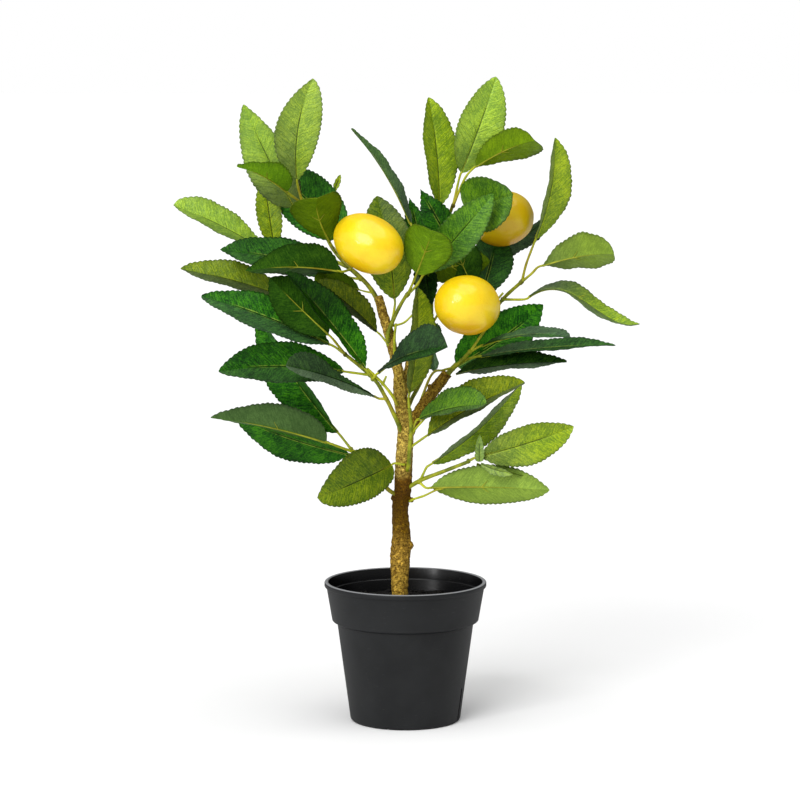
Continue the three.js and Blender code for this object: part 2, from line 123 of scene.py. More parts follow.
# The wrapped trunk and its branches: the centre line's points, each with its radius.
TRUNK = [
    [-4, 0, 30, 6.2],
    [-4, 0, 90, 6.2],
    [-4, 0, 117, 6.1],
    [-3, 0, 138, 6.2],
    [-4, 0, 157, 6.7],
    [-3, 0, 166, 8],
    [-2, 0, 173, 6.7],
    [-1, 0, 194, 6.6],
    [0, 0, 214, 7],
    [-2, 0, 231, 6.7],
    [-4, 0, 243, 6.4],
    [-5, 0, 259, 5.6],
    [-9, 0, 275, 4.2],
    [-12, 0, 288, 4.3],
    [-16, 0, 301, 4.2],
    [-20, 0, 316, 3.5],
]

RIGHT_BRANCH = [
    [1, 0, 212, 4.6],
    [9, 0, 228, 4.9],
    [18, 0, 242, 4.8],
    [31, 0, 259, 4.4],
]

REAR_BRANCH = [
    [-3, 0, 238, 4],
    [2, 7, 258, 4],
    [6, 13, 279, 3.8],
    [10, 18, 306, 3.4],
]

# The trunk's knots: place and radius.
KNOTS = [
    ([3, -2, 131], 3.6),
    ([18, -4, 249], 2.6),
    ([-9, 1, 166], 2.4),
    ([5, -3, 165], 2.2),
    ([-1, -6, 200], 2),
]

# The lemons: the stem end, the tip end, the greatest diameter and the skin's tint.
LEMONS = {
    "lemon_left": ([-49, -18, 367], [-5, -42, 345], 41, (1, 1, 1)),
    "lemon_right": ([64, -10, 306], [26, -42, 316], 43, (1, 1, 1)),
    "lemon_upper": ([48, 25, 367], [94, 19, 375], 41, (0.76, 0.74, 0.34)),
}

# Leaf outlines: the powers of t and 1 - t in the half width along the midrib.
POINTED = [0.72, 0.74]
ROUND = [0.52, 0.5]
FULL_BASE = [0.52, 0.8]
FULL_TIP = [0.85, 0.5]
BLUNT = [0.6, 0.24]
SLENDER_TIP = [0.7, 1.2]

# Leaves whose two halves differ: the outline and the share of the width on the negative side, then on the
# positive side.
HALVES = {
    "low_front_1": ([0.4, 0.45, 0.8], [0.75, 0.85, 1.14]),
    "upper_left_2": ([0.66, 0.86, 1], [0.8, 0.66, 1]),
    "back_left_1": ([*POINTED, 1], [0.72, 0.45, 1]),
    "left_2": ([*POINTED, 1], [*POINTED, 0.86]),
    "left_5": ([0.7, 0.5, 0.95], [2.3, 0.5, 0.92]),
    "left_6": ([1.8, 0.42, 0.95], [0.9, 0.6, 1]),
    "right_2": ([*FULL_TIP, 0.7], [*FULL_TIP, 0.8]),
    "right_3": ([*POINTED, 0.85], [*POINTED, 0.75]),
    "front_2": ([0.8, 0.5, 1], [*FULL_TIP, 0.55]),
    "upper_right_3": ([0.9, 0.4, 1.2], [0.5, 0.31, 0.86]),
}

# Leaves whose midrib bows, and how far towards the positive side, and the one that twists from foot to tip,
# in degrees.
BOWS = {
    "right_1": 3, "far_right_1": 3, "centre_1": 2, "left_3": -1,
    "left_4": 2, "upper_left_2": -5, "upper_left_5": 3,
}
TWISTS = {"far_right_3": 20}

# The leaves. Each row holds the name, the base and the tip of the midrib, the turn of the upper side about
# the midrib in degrees (0 faces the front, 180 the back, and it grows towards the leaf's positive side),
# the width, the midrib's rise towards the upper side, the fold of each half in degrees, the outline, the
# tone and the cloth's shade. Then come, if given, how light the leaf is (otherwise 1), which is partly its
# own tone and partly painted shade, and how much grey-green painted sheen and shade lies on the half on the
# negative side and the half on the positive side (otherwise 0). A pair holds the foot's and the tip's
# value; a lightness that goes from foot to tip is painted shade.
LEAVES = [
    ["low_right_1", [20, -8, 193], [84, -20, 253], 53, 32, 5, 18, POINTED, "light", "spring", 1.1, 0.85, 0],
    ["low_right_2", [55, -20, 200], [122, -30, 223], 15, 33, [3, 4], 14, POINTED, "light",
     "spring", 0.95, (0.4, 0), (0.4, 0)],
    ["low_right_3", [19, -8, 175], [105, -26, 176], 198, 34, 3, 14, POINTED, "light",
     "lime", 0.97, 0.1, 0.1],
    ["low_left_1", [-50, 6, 214], [-109, 22, 297], -42, 42, 4, 30, POINTED, "dark", "deep", 1.45, 0, 0.2],
    ["low_left_2", [-58, -4, 208], [-141, -34, 230], 133, 40, 3, 30, FULL_BASE, "dark", "smoke", 1, 0.3, 0],
    ["low_front_1", [-10, -9, 192], [-63, -60, 175], 0, 40, [4, 5], 10, FULL_BASE, "mid", "grass", 0.8],
    ["front_1", [3, -12, 245], [9, -16, 323], 50, 34, 3, 20, POINTED, "mid", "spring", 0.9, 0.4, 0],
    ["front_2", [10, -12, 226], [58, -58, 243], -51, 31, 4, 25, FULL_TIP, "mid", "green", 0.85, 0, 0.5],
    ["front_3", [16, -10, 214], [86, -34, 256], -54, 38, 3, 30, POINTED, "light", "olive", 1, 0, 0.85],
    ["right_1", [38, 9, 263], [102, 26, 307], -10, 40, 3, 12, FULL_BASE, "dark", "deep", 1.4, 0, (0.35, 0)],
    ["right_2", [56, -8, 280], [117, -60, 291], -78, 28, 5, 15, FULL_TIP, "dark",
     "deep", 0.85, (0.6, 0.9), (0.1, 0.6)],
    ["right_3", [55, 2, 271], [153, -14, 281], -72, 27, 2, 15, POINTED, "dark",
     "deep", 0.85, (0.9, 0.4), 0.4],
    ["far_right_1", [96, 12, 357], [109, 4, 431], 55, 37, 3, 22, POINTED, "light", "spring", 1.15, 0.6, 0],
    ["far_right_2", [101, 12, 337], [152, -6, 347], 212, 36, 4, 18, FULL_TIP, "light",
     "lime", 0.77, (0.3, 0), (0.3, 0)],
    ["far_right_3", [91, 14, 314], [171, -8, 296], -70, 27, [24, -11], 15, FULL_BASE, "mid",
     "spring", (0.75, 1), (1, 0.1), (0.7, 0.9)],
    ["centre_1", [-8, 2, 313], [-21, 14, 388], 0, 38, 3, 12, POINTED, "mid",
     "grass", (1.25, 0.9), 0, (0, 0.3)],
    ["centre_2", [8, -17, 333], [19, -58, 367], 172, 38, [4, 5], 12, ROUND, "mid", "grass", 1.1],
    ["centre_3", [15, -8, 334], [63, -36, 392], 0, 30, [3, 4], 12, POINTED, "mid", "green", 1, 0, 0.15],
    ["left_1", [-55, -12, 281], [-149, -6, 316], 43, 34, 4, 15, POINTED, "dark", "deep", 1.05, 0.45, 0],
    ["left_2", [-56, -21, 289], [-98, -27, 331], 195, 38, 3, 14, POINTED, "dark", "night"],
    ["left_3", [-29, -20, 264], [-86, -38, 336], 50, 34, 3, 34, POINTED, "dark", "deep", (1.4, 0.3)],
    ["left_4", [-45, -18, 262], [-134, -52, 266], 45, 40, 3, 16, POINTED, "dark", "deep", 0.75, 0.35, 0],
    ["left_5", [-22, -14, 243], [-85, -62, 271], 48, 28, 4, 25, FULL_TIP, "dark",
     "night", (1.8, 1.1), 1, (0.1, 0.3)],
    ["left_6", [-20, -20, 261], [30, -60, 284], -52, 40, 6, 35, FULL_TIP, "dark",
     "deep", 0.5, (0.8, 0.6), (0.7, 0.4)],
    ["upper_left_1", [-82, 16, 380], [-118, 4, 455], -20, 38, 3, 14, FULL_BASE, "light",
     "lime", (0.42, 1), (0.3, 0.15), (0.3, 0.1)],
    ["upper_left_2", [-79, 0, 400], [-67, -14, 474], 0, 34, 3, 12, FULL_TIP, "light",
     "lime", 0.76, (0.5, 0.1), 0],
    ["upper_left_3", [-86, -8, 392], [-120, -48, 412], 122, 32, 3, 30, FULL_BASE, "mid", "grass", 1.3],
    ["upper_left_4", [-49, -12, 335], [-114, -52, 338], 134, 40, 4, 22, FULL_BASE, "dark",
     "night", (1.3, 1.6), 0, 0.1],
    ["upper_left_5", [-55, -14, 356], [-63, -58, 390], 180, 40, [4, 5], 16, FULL_TIP, "dark", "olive"],
    ["upper_left_6", [-44, 20, 359], [-92, 48, 401], 0, 43, 4, 12, ROUND, "dark", "deep", 1.35, 0, 0.1],
    ["upper_left_7", [-44, 16, 329], [-136, 8, 349], 46, 35, 4, 15, POINTED, "dark", "deep", 0.85, 0.3, 0.1],
    ["back_left_1", [-105, 30, 347], [-171, 22, 381], 48, 30, 3, 25, POINTED, "light", "lime", 0.86, 0.4, 0],
    ["back_left_2", [-88, 26, 312], [-166, 20, 334], 48, 30, 3, 25, POINTED, "light",
     "spring", (0.6, 0.72), 0.9, 0],
    ["upper_right_1", [25, 10, 381], [17, 18, 460], 38, 34, 3, 20, POINTED, "light", "spring"],
    ["upper_right_2", [41, 12, 405], [66, 6, 475], 15, 36, 3, 12, POINTED, "light", "lime", (0.8, 1)],
    ["upper_right_3", [52, 8, 410], [93, -22, 430], 212, 34, 4, 18, BLUNT, "mid", "spring", 0.78],
    ["upper_right_4", [43, 2, 380], [77, -32, 391], 0, 43, [4, 5], 14, ROUND, "dark", "green", (1.4, 0.9)],
    ["upper_right_5", [4, 6, 368], [-40, 24, 437], 78, 27, 4, 15, POINTED, "dark",
     "green", 0.85, 0.1, (0.9, 0.5)],
    ["rear_1", [12, 52, 338], [-36, 90, 358], 110, 36, 6, 14, POINTED, "dark", "deep"],
    ["rear_2", [28, 54, 336], [74, 92, 352], -110, 36, 6, 14, POINTED, "dark", "deep"],
    ["rear_3", [28, 50, 304], [60, 96, 322], -110, 34, 6, 14, POINTED, "mid", "grass"],
    ["rear_4", [15, 40, 262], [16, 104, 280], 90, 34, 6, 14, POINTED, "dark", "deep"],
]

# Leaves that the frame has no solid for: the same columns as in LEAVES.
SMALL_LEAVES = [
    ["behind_left", [-97, 34, 347], [-105, 36, 402], 0, 20, 3, 12, POINTED, "light", "spring", 0.9],
    ["bud_left", [-53, 24, 390], [-48, 28, 403], 0, 5, 1, 12, POINTED, "light", "spring"],
    ["behind_top", [32, 6, 356], [11, 12, 393], 0, 24, 3, 16, SLENDER_TIP, "dark", "deep", (0.5, 0.9)],
    ["behind_top_low", [12, 16, 348], [3, 26, 386], 0, 20, 2, 16, SLENDER_TIP, "dark", "deep", (0.5, 0.9)],
    ["behind_lemon", [48, 34, 338], [112, 50, 373], 50, 26, 3, 14, POINTED, "dark", "night", 1, 0.3, 0.3],
    ["behind_right", [55, 10, 312], [67, 26, 356], 10, 34, 3, 16, FULL_TIP, "dark", "deep", 0.8, 0.4, 0.2],
    ["between_right", [49, 4, 322], [32, -2, 358], 170, 32, 3, 16, POINTED, "dark", "deep"],
    ["between_low", [14, 0, 333], [62, 6, 341], 190, 30, 3, 14, POINTED, "mid", "olive"],
    ["hanging", [14, 8, 345], [19, 2, 309], 20, 20, 2, 20, POINTED, "dark", "night", 0.8],
    ["sliver", [6, -3, 303], [6, 4, 343], 80, 20, 2, 20, POINTED, "dark", "smoke", 1, 0.5, 0.5],
    ["olive_left", [-34, 2, 320], [-66, -14, 330], 200, 26, 3, 14, POINTED, "mid", "olive", 0.7],
    ["under_left", [-21, -6, 290], [-66, -12, 328], 45, 26, 3, 30, POINTED, "mid", "olive", 0.45, 1, 0],
    ["low_behind", [-42, 10, 197], [-126, 20, 224], -40, 39, 3, 14, POINTED, "dark", "deep", 0.85],
    ["right_low", [37, 4, 258], [118, -10, 268], -64, 27, 3, 16, POINTED, "dark",
     "night", 1.25, 0, (1, 0.8)],
    ["low_strip", [52, -12, 193], [92, -14, 184], 60, 24, 2, 16, POINTED, "mid", "grass"],
    ["stipule_up", [54, -22, 196], [54, -23, 216], 0, 8, 1, 20, [0.3, 0.7], "mid", "lime", 1, 0.6, 0.6],
    ["stipule_low", [55, -23, 195], [78, -30, 188], 30, 9, [2, 1], 20, POINTED, "mid", "lime", 1, 0.6, 0.6],
]

# The sprigs: a stem with a point every bend, a petiole to each of the sprig's leaves in turn, from the stem
# (or from the trunk, where there is none), and fruit stalks, each with its lemon's name.
SPRIGS = {
    "low_right": {
        "stem": [[-2, 0, 171], [11, -6, 180], [29, -12, 188], [47, -18, 196]],
        "petioles": [[[11, -6, 180], [15, -7, 189]], [[46, -18, 196]], [[10, -6, 179]]],
    },
    "low_left": {
        "stem": [[-3, 0, 167], [-12, -2, 172], [-20, -1, 181], [-30, 0, 192], [-41, 2, 203]],
        "petioles": [[[-40, 2, 202]], [[-38, 1, 200]]],
    },
    "low_front": {
        "petioles": [[[-1, 0, 192], [-1, -8, 192]]],
    },
    "front": {
        "stem": [[0, 0, 186], [2, -8, 190], [3, -11, 203], [4, -12, 220], [3, -13, 234]],
        "petioles": [[[3, -13, 233]], [[4, -12, 216]], [[3, -11, 205]]],
    },
    "right": {
        "stem": [[30, 0, 256], [34, 0, 261], [41, -2, 268], [48, -6, 276]],
        "petioles": [[[35, 0, 262]], [[47, -6, 275]], [[41, -2, 268]]],
        "stalks": {"lemon_right": [[48, -6, 276]]},
    },
    "far_right": {
        "stem": [[24, 0, 251], [34, 16, 260], [48, 28, 274], [60, 30, 293], [72, 24, 311], [86, 17, 325]],
        "petioles": [[[86, 17, 325], [89, 15, 338]], [[85, 17, 324], [93, 14, 331]], [[72, 24, 311]]],
    },
    "centre": {
        "stem": [[-12, 0, 280], [-13, -6, 286], [-11, -7, 294], [-4, -8, 309], [2, -10, 319]],
        "petioles": [[[-10, -7, 296]], [[2, -10, 318]], [[1, -10, 317], [8, -11, 324]]],
    },
    "left": {
        "stem": [[-1, 0, 211], [-7, -8, 226], [-15, -11, 243], [-24, -14, 257], [-45, -14, 275]],
        "petioles": [
            [[-44, -14, 274]], [[-44, -14, 274]], [[-24, -14, 257]], [[-26, -15, 259]], [[-14, -11, 241]],
            [[-24, -14, 256]],
        ],
    },
    "upper_left": {
        "stem": [[-20, 0, 312], [-28, 1, 324], [-40, 4, 335], [-53, 12, 349], [-63, 15, 367], [-72, 9, 376]],
        "petioles": [
            [[-71, 10, 375]], [[-72, 9, 375], [-76, 6, 386]], [[-71, 10, 375], [-77, 2, 384]],
            [[-40, 4, 335]], [[-51, 11, 347], [-52, 2, 350]], [[-47, 8, 343]],
            [[-33, 2, 328], [-38, 7, 328]],
        ],
        "stalks": {"lemon_left": [[-58, 14, 358], [-56, 0, 366]]},
    },
    "back_left": {
        "stem": [
            [-18, 0, 309], [-27, 10, 322], [-42, 18, 335],
            [-62, 28, 341], [-84, 32, 338], [-98, 31, 343],
        ],
        "petioles": [[[-97, 31, 343]], [[-82, 32, 338], [-80, 30, 320]]],
    },
    "upper_right": {
        "stem": [[10, 18, 303], [14, 20, 329], [23, 18, 355], [32, 15, 374], [35, 13, 382]],
        "petioles": [
            [[25, 18, 360]], [[35, 13, 381]], [[35, 13, 381], [43, 11, 400]], [[32, 15, 373], [36, 6, 374]],
            [[18, 19, 344], [9, 12, 355]],
        ],
        "stalks": {"lemon_upper": [[23, 18, 355], [38, 14, 361]]},
    },
    "rear": {
        "stem": [[-2, 0, 222], [4, 18, 236], [14, 30, 256], [19, 42, 290], [20, 48, 322]],
        "petioles": [[[20, 48, 321]], [[20, 48, 321]], [[19, 42, 290]], [[12, 28, 252]]],
    },
}

# Thin stems that the frame has no solid for: the centre line's points, then the radius.
THIN_STEMS = {
    "second_petiole": [[3, -4, 164], [6, -6, 166], [14, -8, 169], [22, -9, 173], [28, -9, 174.5], 0.8],
    "front_petiole": [[4, -10, 214], [6, -11, 217], [9, -12, 221], [17, -10, 229.5], 0.8],
    "fork_stem": [[3, 6, 219], [8, 8, 228], [19, 10, 256], [28, 9, 260], [36, 9, 262], 1],
    "left_stem": [[-6, -6, 236], [-10, -12, 244], [-17, -14, 253], [-28, -16, 264], 1.1],
    "left_stub": [[-17, -13, 251], [-14, -13, 258], 0.9],
    "sliver_stem": [[-11, -6, 294], [-5, -5, 295], [0, -3, 297], [6, -3, 303], 0.8],
    "olive_stem": [[-19, 1, 311], [-23, 0, 317], [-30, 0, 319], [-34, 2, 320], 0.7],
    "under_stem": [[-12, 0, 281], [-14, -2, 282], [-18, -4, 287], [-21, -6, 290], 0.8],
    "fruit_stub": [[65, -8, 311], [67, -12, 314], [71, -14, 319], 0.9],
    "trunk_twig": [[-8, -4, 272], [-8, -6, 285], [-7, -6, 296], 1],
}

# Greens as screen colours, upper side then underside, how strong the cloth's mottling is and its gloss.
SHADES = {
    "lime": [(134, 168, 42), (124, 152, 48), 0.38, 0.4],
    "spring": [(118, 146, 14), (112, 146, 12), 0.45, 0.25],
    "grass": [(84, 112, 12), (90, 128, 16), 0.55, 0.15],
    "olive": [(96, 116, 8), (78, 106, 8), 0.5, 0.1],
    "green": [(66, 112, 16), (80, 114, 26), 0.6, 0.25],
    "deep": [(28, 84, 10), (36, 72, 12), 0.9, 0.08],
    "night": [(18, 48, 8), (34, 68, 12), 0.8, 0.06],
    "smoke": [(70, 98, 54), (64, 98, 38), 0.4, 0.1],
}

# Grey-green painted sheen and shade, laid over leaf halves turned to a glance or away from the light,
# as a screen colour.
SHEEN_AND_SHADE_GREY = (86, 104, 82)


def screen(*levels):
    """A screen colour of 0 to 255 as linear light."""
    return tuple(c / 255 / 12.92 if c <= 10 else ((c / 255 + 0.055) / 1.055) ** 2.4 for c in levels)


def scaled(colour, level):
    return tuple(c * level for c in colour)


# ---- node graphs


class Value:
    """What a node works out, with the sums that further nodes can do with it."""

    def __init__(self, graph, socket):
        self.graph = graph
        self.socket = socket

    def __add__(self, other):
        return self.graph.math("ADD", self, other)

    def __sub__(self, other):
        return self.graph.math("SUBTRACT", self, other)

    def __mul__(self, other):
        return self.graph.math("MULTIPLY", self, other)

    def __truediv__(self, other):
        return self.graph.math("DIVIDE", self, other)

    def __abs__(self):
        return self.graph.math("ABSOLUTE", self)


class Graph:
    """A material's node tree, with short calls for the nodes used here."""

    def __init__(self, name):
        self.material = bpy.data.materials.new(name)
        self.material.use_nodes = True
        self.nodes = self.material.node_tree.nodes
        self.links = self.material.node_tree.links
        self.shader = self.nodes["Principled BSDF"]

    def put(self, socket, value):
        if isinstance(value, Value):
            self.links.new(value.socket, socket)
        elif isinstance(value, tuple) and len(value) < len(socket.default_value):
            socket.default_value = (*value, 1)
        else:
            socket.default_value = value

    def set(self, **values):
        for name, value in values.items():
            self.put(self.shader.inputs[name.replace("_", " ")], value)

    def node(self, kind, inputs, output=0, **settings):
        """An output of a new node, from its kind, its inputs by name or number and its settings."""
        node = self.nodes.new("ShaderNode" + kind)
        for name, setting in settings.items():
            setattr(node, name, setting)
        for key, value in inputs.items():
            self.put(node.inputs[key], value)
        return Value(self, node.outputs[output])

    def math(self, operation, *values):
        return self.node("Math", dict(enumerate(values)), operation=operation)

    def blend(self, factor, a, b, mode="MIX"):
        return self.node("Mix", {"Factor": factor, 6: a, 7: b}, 2, data_type="RGBA", blend_type=mode)

    def step(self, value, low, high, from_level=0, to_level=1):
        """A smooth step: from_level below low, to_level above high."""
        inputs = dict(enumerate((value, low, high, from_level, to_level)))
        return self.node("MapRange", inputs, interpolation_type="SMOOTHSTEP")

    def fall(self, value, low, high, level=1):
        """A smooth step down: the level below low, nothing above high."""
        return self.step(value, low, high, level, 0)

    def place(self):
        return self.node("TexCoord", {}, "Object")

    def uv(self, layer):
        return self.axes(self.node("UVMap", {}, uv_map=layer))[:2]

    def axes(self, vector):
        node = self.nodes.new("ShaderNodeSeparateXYZ")
        self.put(node.inputs[0], vector)
        return [Value(self, output) for output in node.outputs]

    def joined(self, *values):
        return self.node("CombineXYZ", dict(enumerate(values)))

    def gloss(self, name, face_on, glancing):
        """A gloss input that differs where the surface is seen face on and where it's seen at a glance."""
        facing = self.node("LayerWeight", {}, "Facing")
        self.put(self.shader.inputs[name], self.step(facing, 0.3, 0.9, face_on, glancing))

    def attribute(self, name, output="Color"):
        return self.node("Attribute", {}, output, attribute_name=name)

    def noise(self, scale, detail=3, roughness=0.55, vector=None):
        inputs = {"Vector": vector or self.place(), "Scale": scale, "Detail": detail, "Roughness": roughness}
        return self.node("TexNoise", inputs)

    def cells(self, scale):
        return self.node("TexVoronoi", {"Vector": self.place(), "Scale": scale}, "Distance")

    def ramp(self, factor, stops):
        node = self.nodes.new("ShaderNodeValToRGB")
        self.put(node.inputs[0], factor)
        elements = node.color_ramp.elements
        while len(elements) < len(stops):
            elements.new(0.5)
        for element, (position, colour) in zip(elements, stops):
            element.position = position
            element.color = (*colour, 1)
        return Value(self, node.outputs[0])

    def bump(self, height, depth):
        """Relief of the given depth in millimetres, on the shader's normal."""
        self.set(Normal=self.node("Bump", {"Distance": depth * MM, "Height": height}))


def stripes(graph, value, spacing, soft):
    """1 on thin lines that lie a spacing apart, 0 between them."""
    part = graph.math("FRACT", value / spacing)
    return graph.fall(abs(part - 0.5) * spacing, 0, soft)


def leaf_material(shade, under):
    """The printed cloth of a leaf. The UV layer "cloth" holds millimetres along and across, over CLOTH_SPAN,
    and the layer "unit" the parts of the length and of the half width."""
    graph = Graph("leaf_" + shade + ("_under" if under else "_upper"))
    upper_colour, under_colour, contrast, shine = SHADES[shade]
    base = screen(*(under_colour if under else upper_colour))
    contrast = contrast * (0.6 if under else 1)
    warmth = (1 + contrast ** 2, 1, 1 - 0.4 * contrast ** 2)
    darker = tuple(c * (1 - 0.85 * contrast) / w for c, w in zip(base, warmth))
    lighter = tuple(c * (1 + 1.6 * contrast) * w for c, w in zip(base, warmth))
    along, across = (axis * CLOTH_SPAN for axis in graph.uv("cloth"))
    across = abs(across)
    part, edge = graph.uv("unit")
    edge = abs(edge)
    wobble = (graph.noise(110) - 0.5) * 5
    lean = along + wobble - across * VEIN_LEAN

    streak = graph.noise(1, 2, 0.6, graph.joined(lean / CLOTH_RIB, across * 0.16, 0))
    grain = graph.noise(950, 3, 0.7)
    blotch = graph.noise(42, 4, 0.62)
    cloud = graph.noise(150, 3, 0.6)
    vein = stripes(graph, lean, VEIN_SPACING, 0.5) * graph.step(cloud, 0.38, 0.62)
    rib_fade = graph.fall(part, RIB_END - 0.12, RIB_END + 0.1)
    groove = graph.fall(across, 0.2, 0.55) * rib_fade
    beside = graph.step(across, 0.45, 0.7) * graph.fall(across, 0.9, 1.4) * rib_fade
    beyond = along - along / part * SIDE_RIB_AT
    side_rib = graph.fall(abs(across - beyond), 0.15, 0.5) * graph.step(beyond, 0, 0.5)
    side_rib = side_rib * graph.fall(beyond, SIDE_RIB_LENGTH - 2, SIDE_RIB_LENGTH)
    rim = graph.step(edge, 0.88, 0.98)
    border = graph.math("MAXIMUM", graph.step(edge, 0.4, 1), graph.fall(part, 0, 0.45, 0.9))

    mottle = streak * 0.45 + grain * 0.5 + cloud * 0.25 + blotch * 0.3
    shading = graph.step(mottle, *MOTTLE)
    colour = graph.ramp(shading, [(0, darker), (0.45, base), (1, lighter)])
    colour = graph.blend(vein * (0.12 if under else 0.4), colour, lighter)
    colour = graph.blend(border * 0.3, colour, scaled(base, 0.5))
    colour = graph.blend(rim * 0.6, colour, scaled(base, 0.3))
    if under:
        colour = graph.blend(groove * 0.5, colour, screen(128, 132, 30))
    else:
        rib_line = screen(150, 170, 66) if shade == "deep" else lighter
        colour = graph.blend(beside * graph.step(cloud, 0.36, 0.52) * 0.6, colour, rib_line)
        colour = graph.blend(groove * 0.8, colour, scaled(base, 0.2))
        colour = graph.blend(side_rib * 0.7, colour, scaled(base, 0.25))
    # Painted sheen and shade: a grey-green mixed in by the leaf's attribute, standing for the reflection of
    # the pale surroundings and for a turned-away half in shade.
    dull = screen(*SHEEN_AND_SHADE_GREY)
    with_sheen_and_shade = graph.blend(0.2, graph.ramp(shading, [(0, scaled(dull, 0.45)), (1, dull)]), colour)
    colour = graph.blend(graph.attribute("dull", "Fac"), colour, with_sheen_and_shade)
    colour = graph.blend(1, colour, graph.attribute("tint"), "MULTIPLY")

    graph.bump(streak * 0.9 - vein - groove * 0.8 + cloud * 3.2, 0.2 if under else 0.3)
    rough, smooth = (0.62, 0.5) if under else (0.55, 0.42)
    graph.set(Base_Color=colour, Roughness=graph.step(mottle, *MOTTLE, rough, smooth))
    shine = shine * (0.5 if under else 1)
    graph.gloss("Specular IOR Level", shine, shine * 0.3)
    return graph.material


def stem_material(name, light, dark, brown):
    """Moulded green plastic with a paler flow along it and brown touches."""
    graph = Graph(name)
    flow = graph.noise(120, 3, 0.6)
    patch = graph.noise(34, 2, 0.5)
    colour = graph.blend(graph.step(flow, 0.35, 0.68), screen(*dark), screen(*light))
    colour = graph.blend(graph.step(patch, 0.52, 0.68, to_level=0.6), colour, screen(*brown))
    graph.set(Base_Color=colour, Roughness=graph.step(flow, 0.3, 0.7, 0.4, 0.55))
    graph.gloss("Specular IOR Level", 0.25, 0.1)
    graph.bump(flow + graph.noise(500, 2), 0.15)
    return graph.material


def bark_material():
    """Paper-wrapped bark: tan with dark specks above and below and brown between. Towards the right it is
    darker brown: painted shade on the trunk's right side, and on the right branch partly its own brown.
    """
    graph = Graph("bark")
    x, _, z = graph.axes(graph.place())
    speck = graph.noise(1000, 3, 0.65)
    fleck = graph.noise(460, 4, 0.7)
    patch = graph.noise(85, 4, 0.6) - 0.5
    tone = graph.ramp((z + patch * 0.035 - 0.08) / 0.26, [
        (0, screen(190, 156, 60)),
        (0.16, screen(164, 130, 50)),
        (0.25, screen(98, 72, 8)),
        (0.33, screen(74, 50, 2)),
        (0.39, screen(92, 62, 8)),
        (0.44, screen(168, 144, 66)),
        (0.6, screen(172, 148, 62)),
        (0.78, screen(164, 138, 56)),
        (1, screen(142, 114, 38)),
    ])
    # Painted shade on the right side, stronger above the fork, where the right branch is also partly its own
    # brown.
    right = graph.step(x + patch * 0.01, 0.0015, 0.007)
    upper = graph.step(z, 0.2, 0.232)
    tone = graph.blend(right * (upper * 0.3 + 0.5), tone, screen(116, 90, 18))
    tone = graph.blend(graph.step(fleck, 0.5, 0.6, to_level=0.72), tone, screen(84, 54, 10))
    tone = graph.blend(graph.step(speck, 0.54, 0.62, to_level=0.85), tone, screen(40, 24, 6))
    tone = graph.blend(graph.fall(fleck, 0.36, 0.46, 0.7), tone, (2.5, 2.5, 2.6), "MULTIPLY")
    graph.set(Base_Color=tone, Roughness=0.8, Specular_IOR_Level=0.08)
    graph.bump(fleck + speck * 0.6, 1)
    return graph.material


def pot_material():
    """Satin black moulded plastic with faint scuffs and fine grain, glossier inside the band. Painted shade
    makes it blacker there, and a painted highlight runs along the lip's crest.
    """
    graph = Graph("pot_plastic")
    x, y, z = graph.axes(graph.place())
    grain = graph.noise(2600, 2)
    cloud = graph.noise(24, 3, 0.6)
    scuff = graph.step(graph.noise(160, 5, 0.7, graph.joined(x, y, z * 7)), 0.62, 0.74)
    # Painted highlight: a light grey ring along the lip's crest.
    crest_highlight = graph.step(z, (POT_HEIGHT - 0.6) * MM, (POT_HEIGHT - 0.1) * MM)
    middle = BAND_FOOT_RADIUS - WALL / 2 - BAND_SLOPE * BAND_FOOT
    out = graph.math("SQRT", x * x + y * y)
    inside = graph.fall(out - z * BAND_SLOPE, (middle - 0.2) * MM, (middle + 0.2) * MM)
    inside = inside * graph.step(z, (BAND_FOOT + 2) * MM, (BAND_FOOT + 4) * MM)
    colour = graph.blend(graph.step(cloud, 0.3, 0.7), screen(23, 24, 25), screen(30, 31, 32))
    colour = graph.blend(scuff * 0.25, colour, screen(74, 75, 78))
    # Painted shade: blacker inside the band.
    colour = graph.blend(inside, colour, screen(9, 9, 10))
    colour = graph.blend(crest_highlight * 0.8, colour, screen(150, 151, 154))
    rough = graph.step(cloud, 0.3, 0.7, 0.4, 0.46) + scuff * 0.12 - inside * 0.18
    graph.set(Base_Color=colour, Roughness=rough)
    graph.gloss("Specular IOR Level", inside * 0.2 + 0.14, 0.02)
    graph.bump(scuff + grain * 0.5, 0.05)
    return graph.material


def fill_material():
    """Dark, damp-looking potting fill with brown and grey crumbs."""
    graph = Graph("filling")
    crumb = graph.cells(420)
    grain = graph.noise(300, 5, 0.7)
    colour = graph.ramp(grain, [
        (0.3, screen(8, 8, 8)),
        (0.52, screen(20, 18, 16)),
        (0.66, screen(34, 30, 26)),
        (0.8, screen(62, 56, 48)),
    ])
    graph.set(Base_Color=colour, Roughness=0.8, Specular_IOR_Level=0.2)
    graph.bump(grain + crumb, 1.2)
    return graph.material


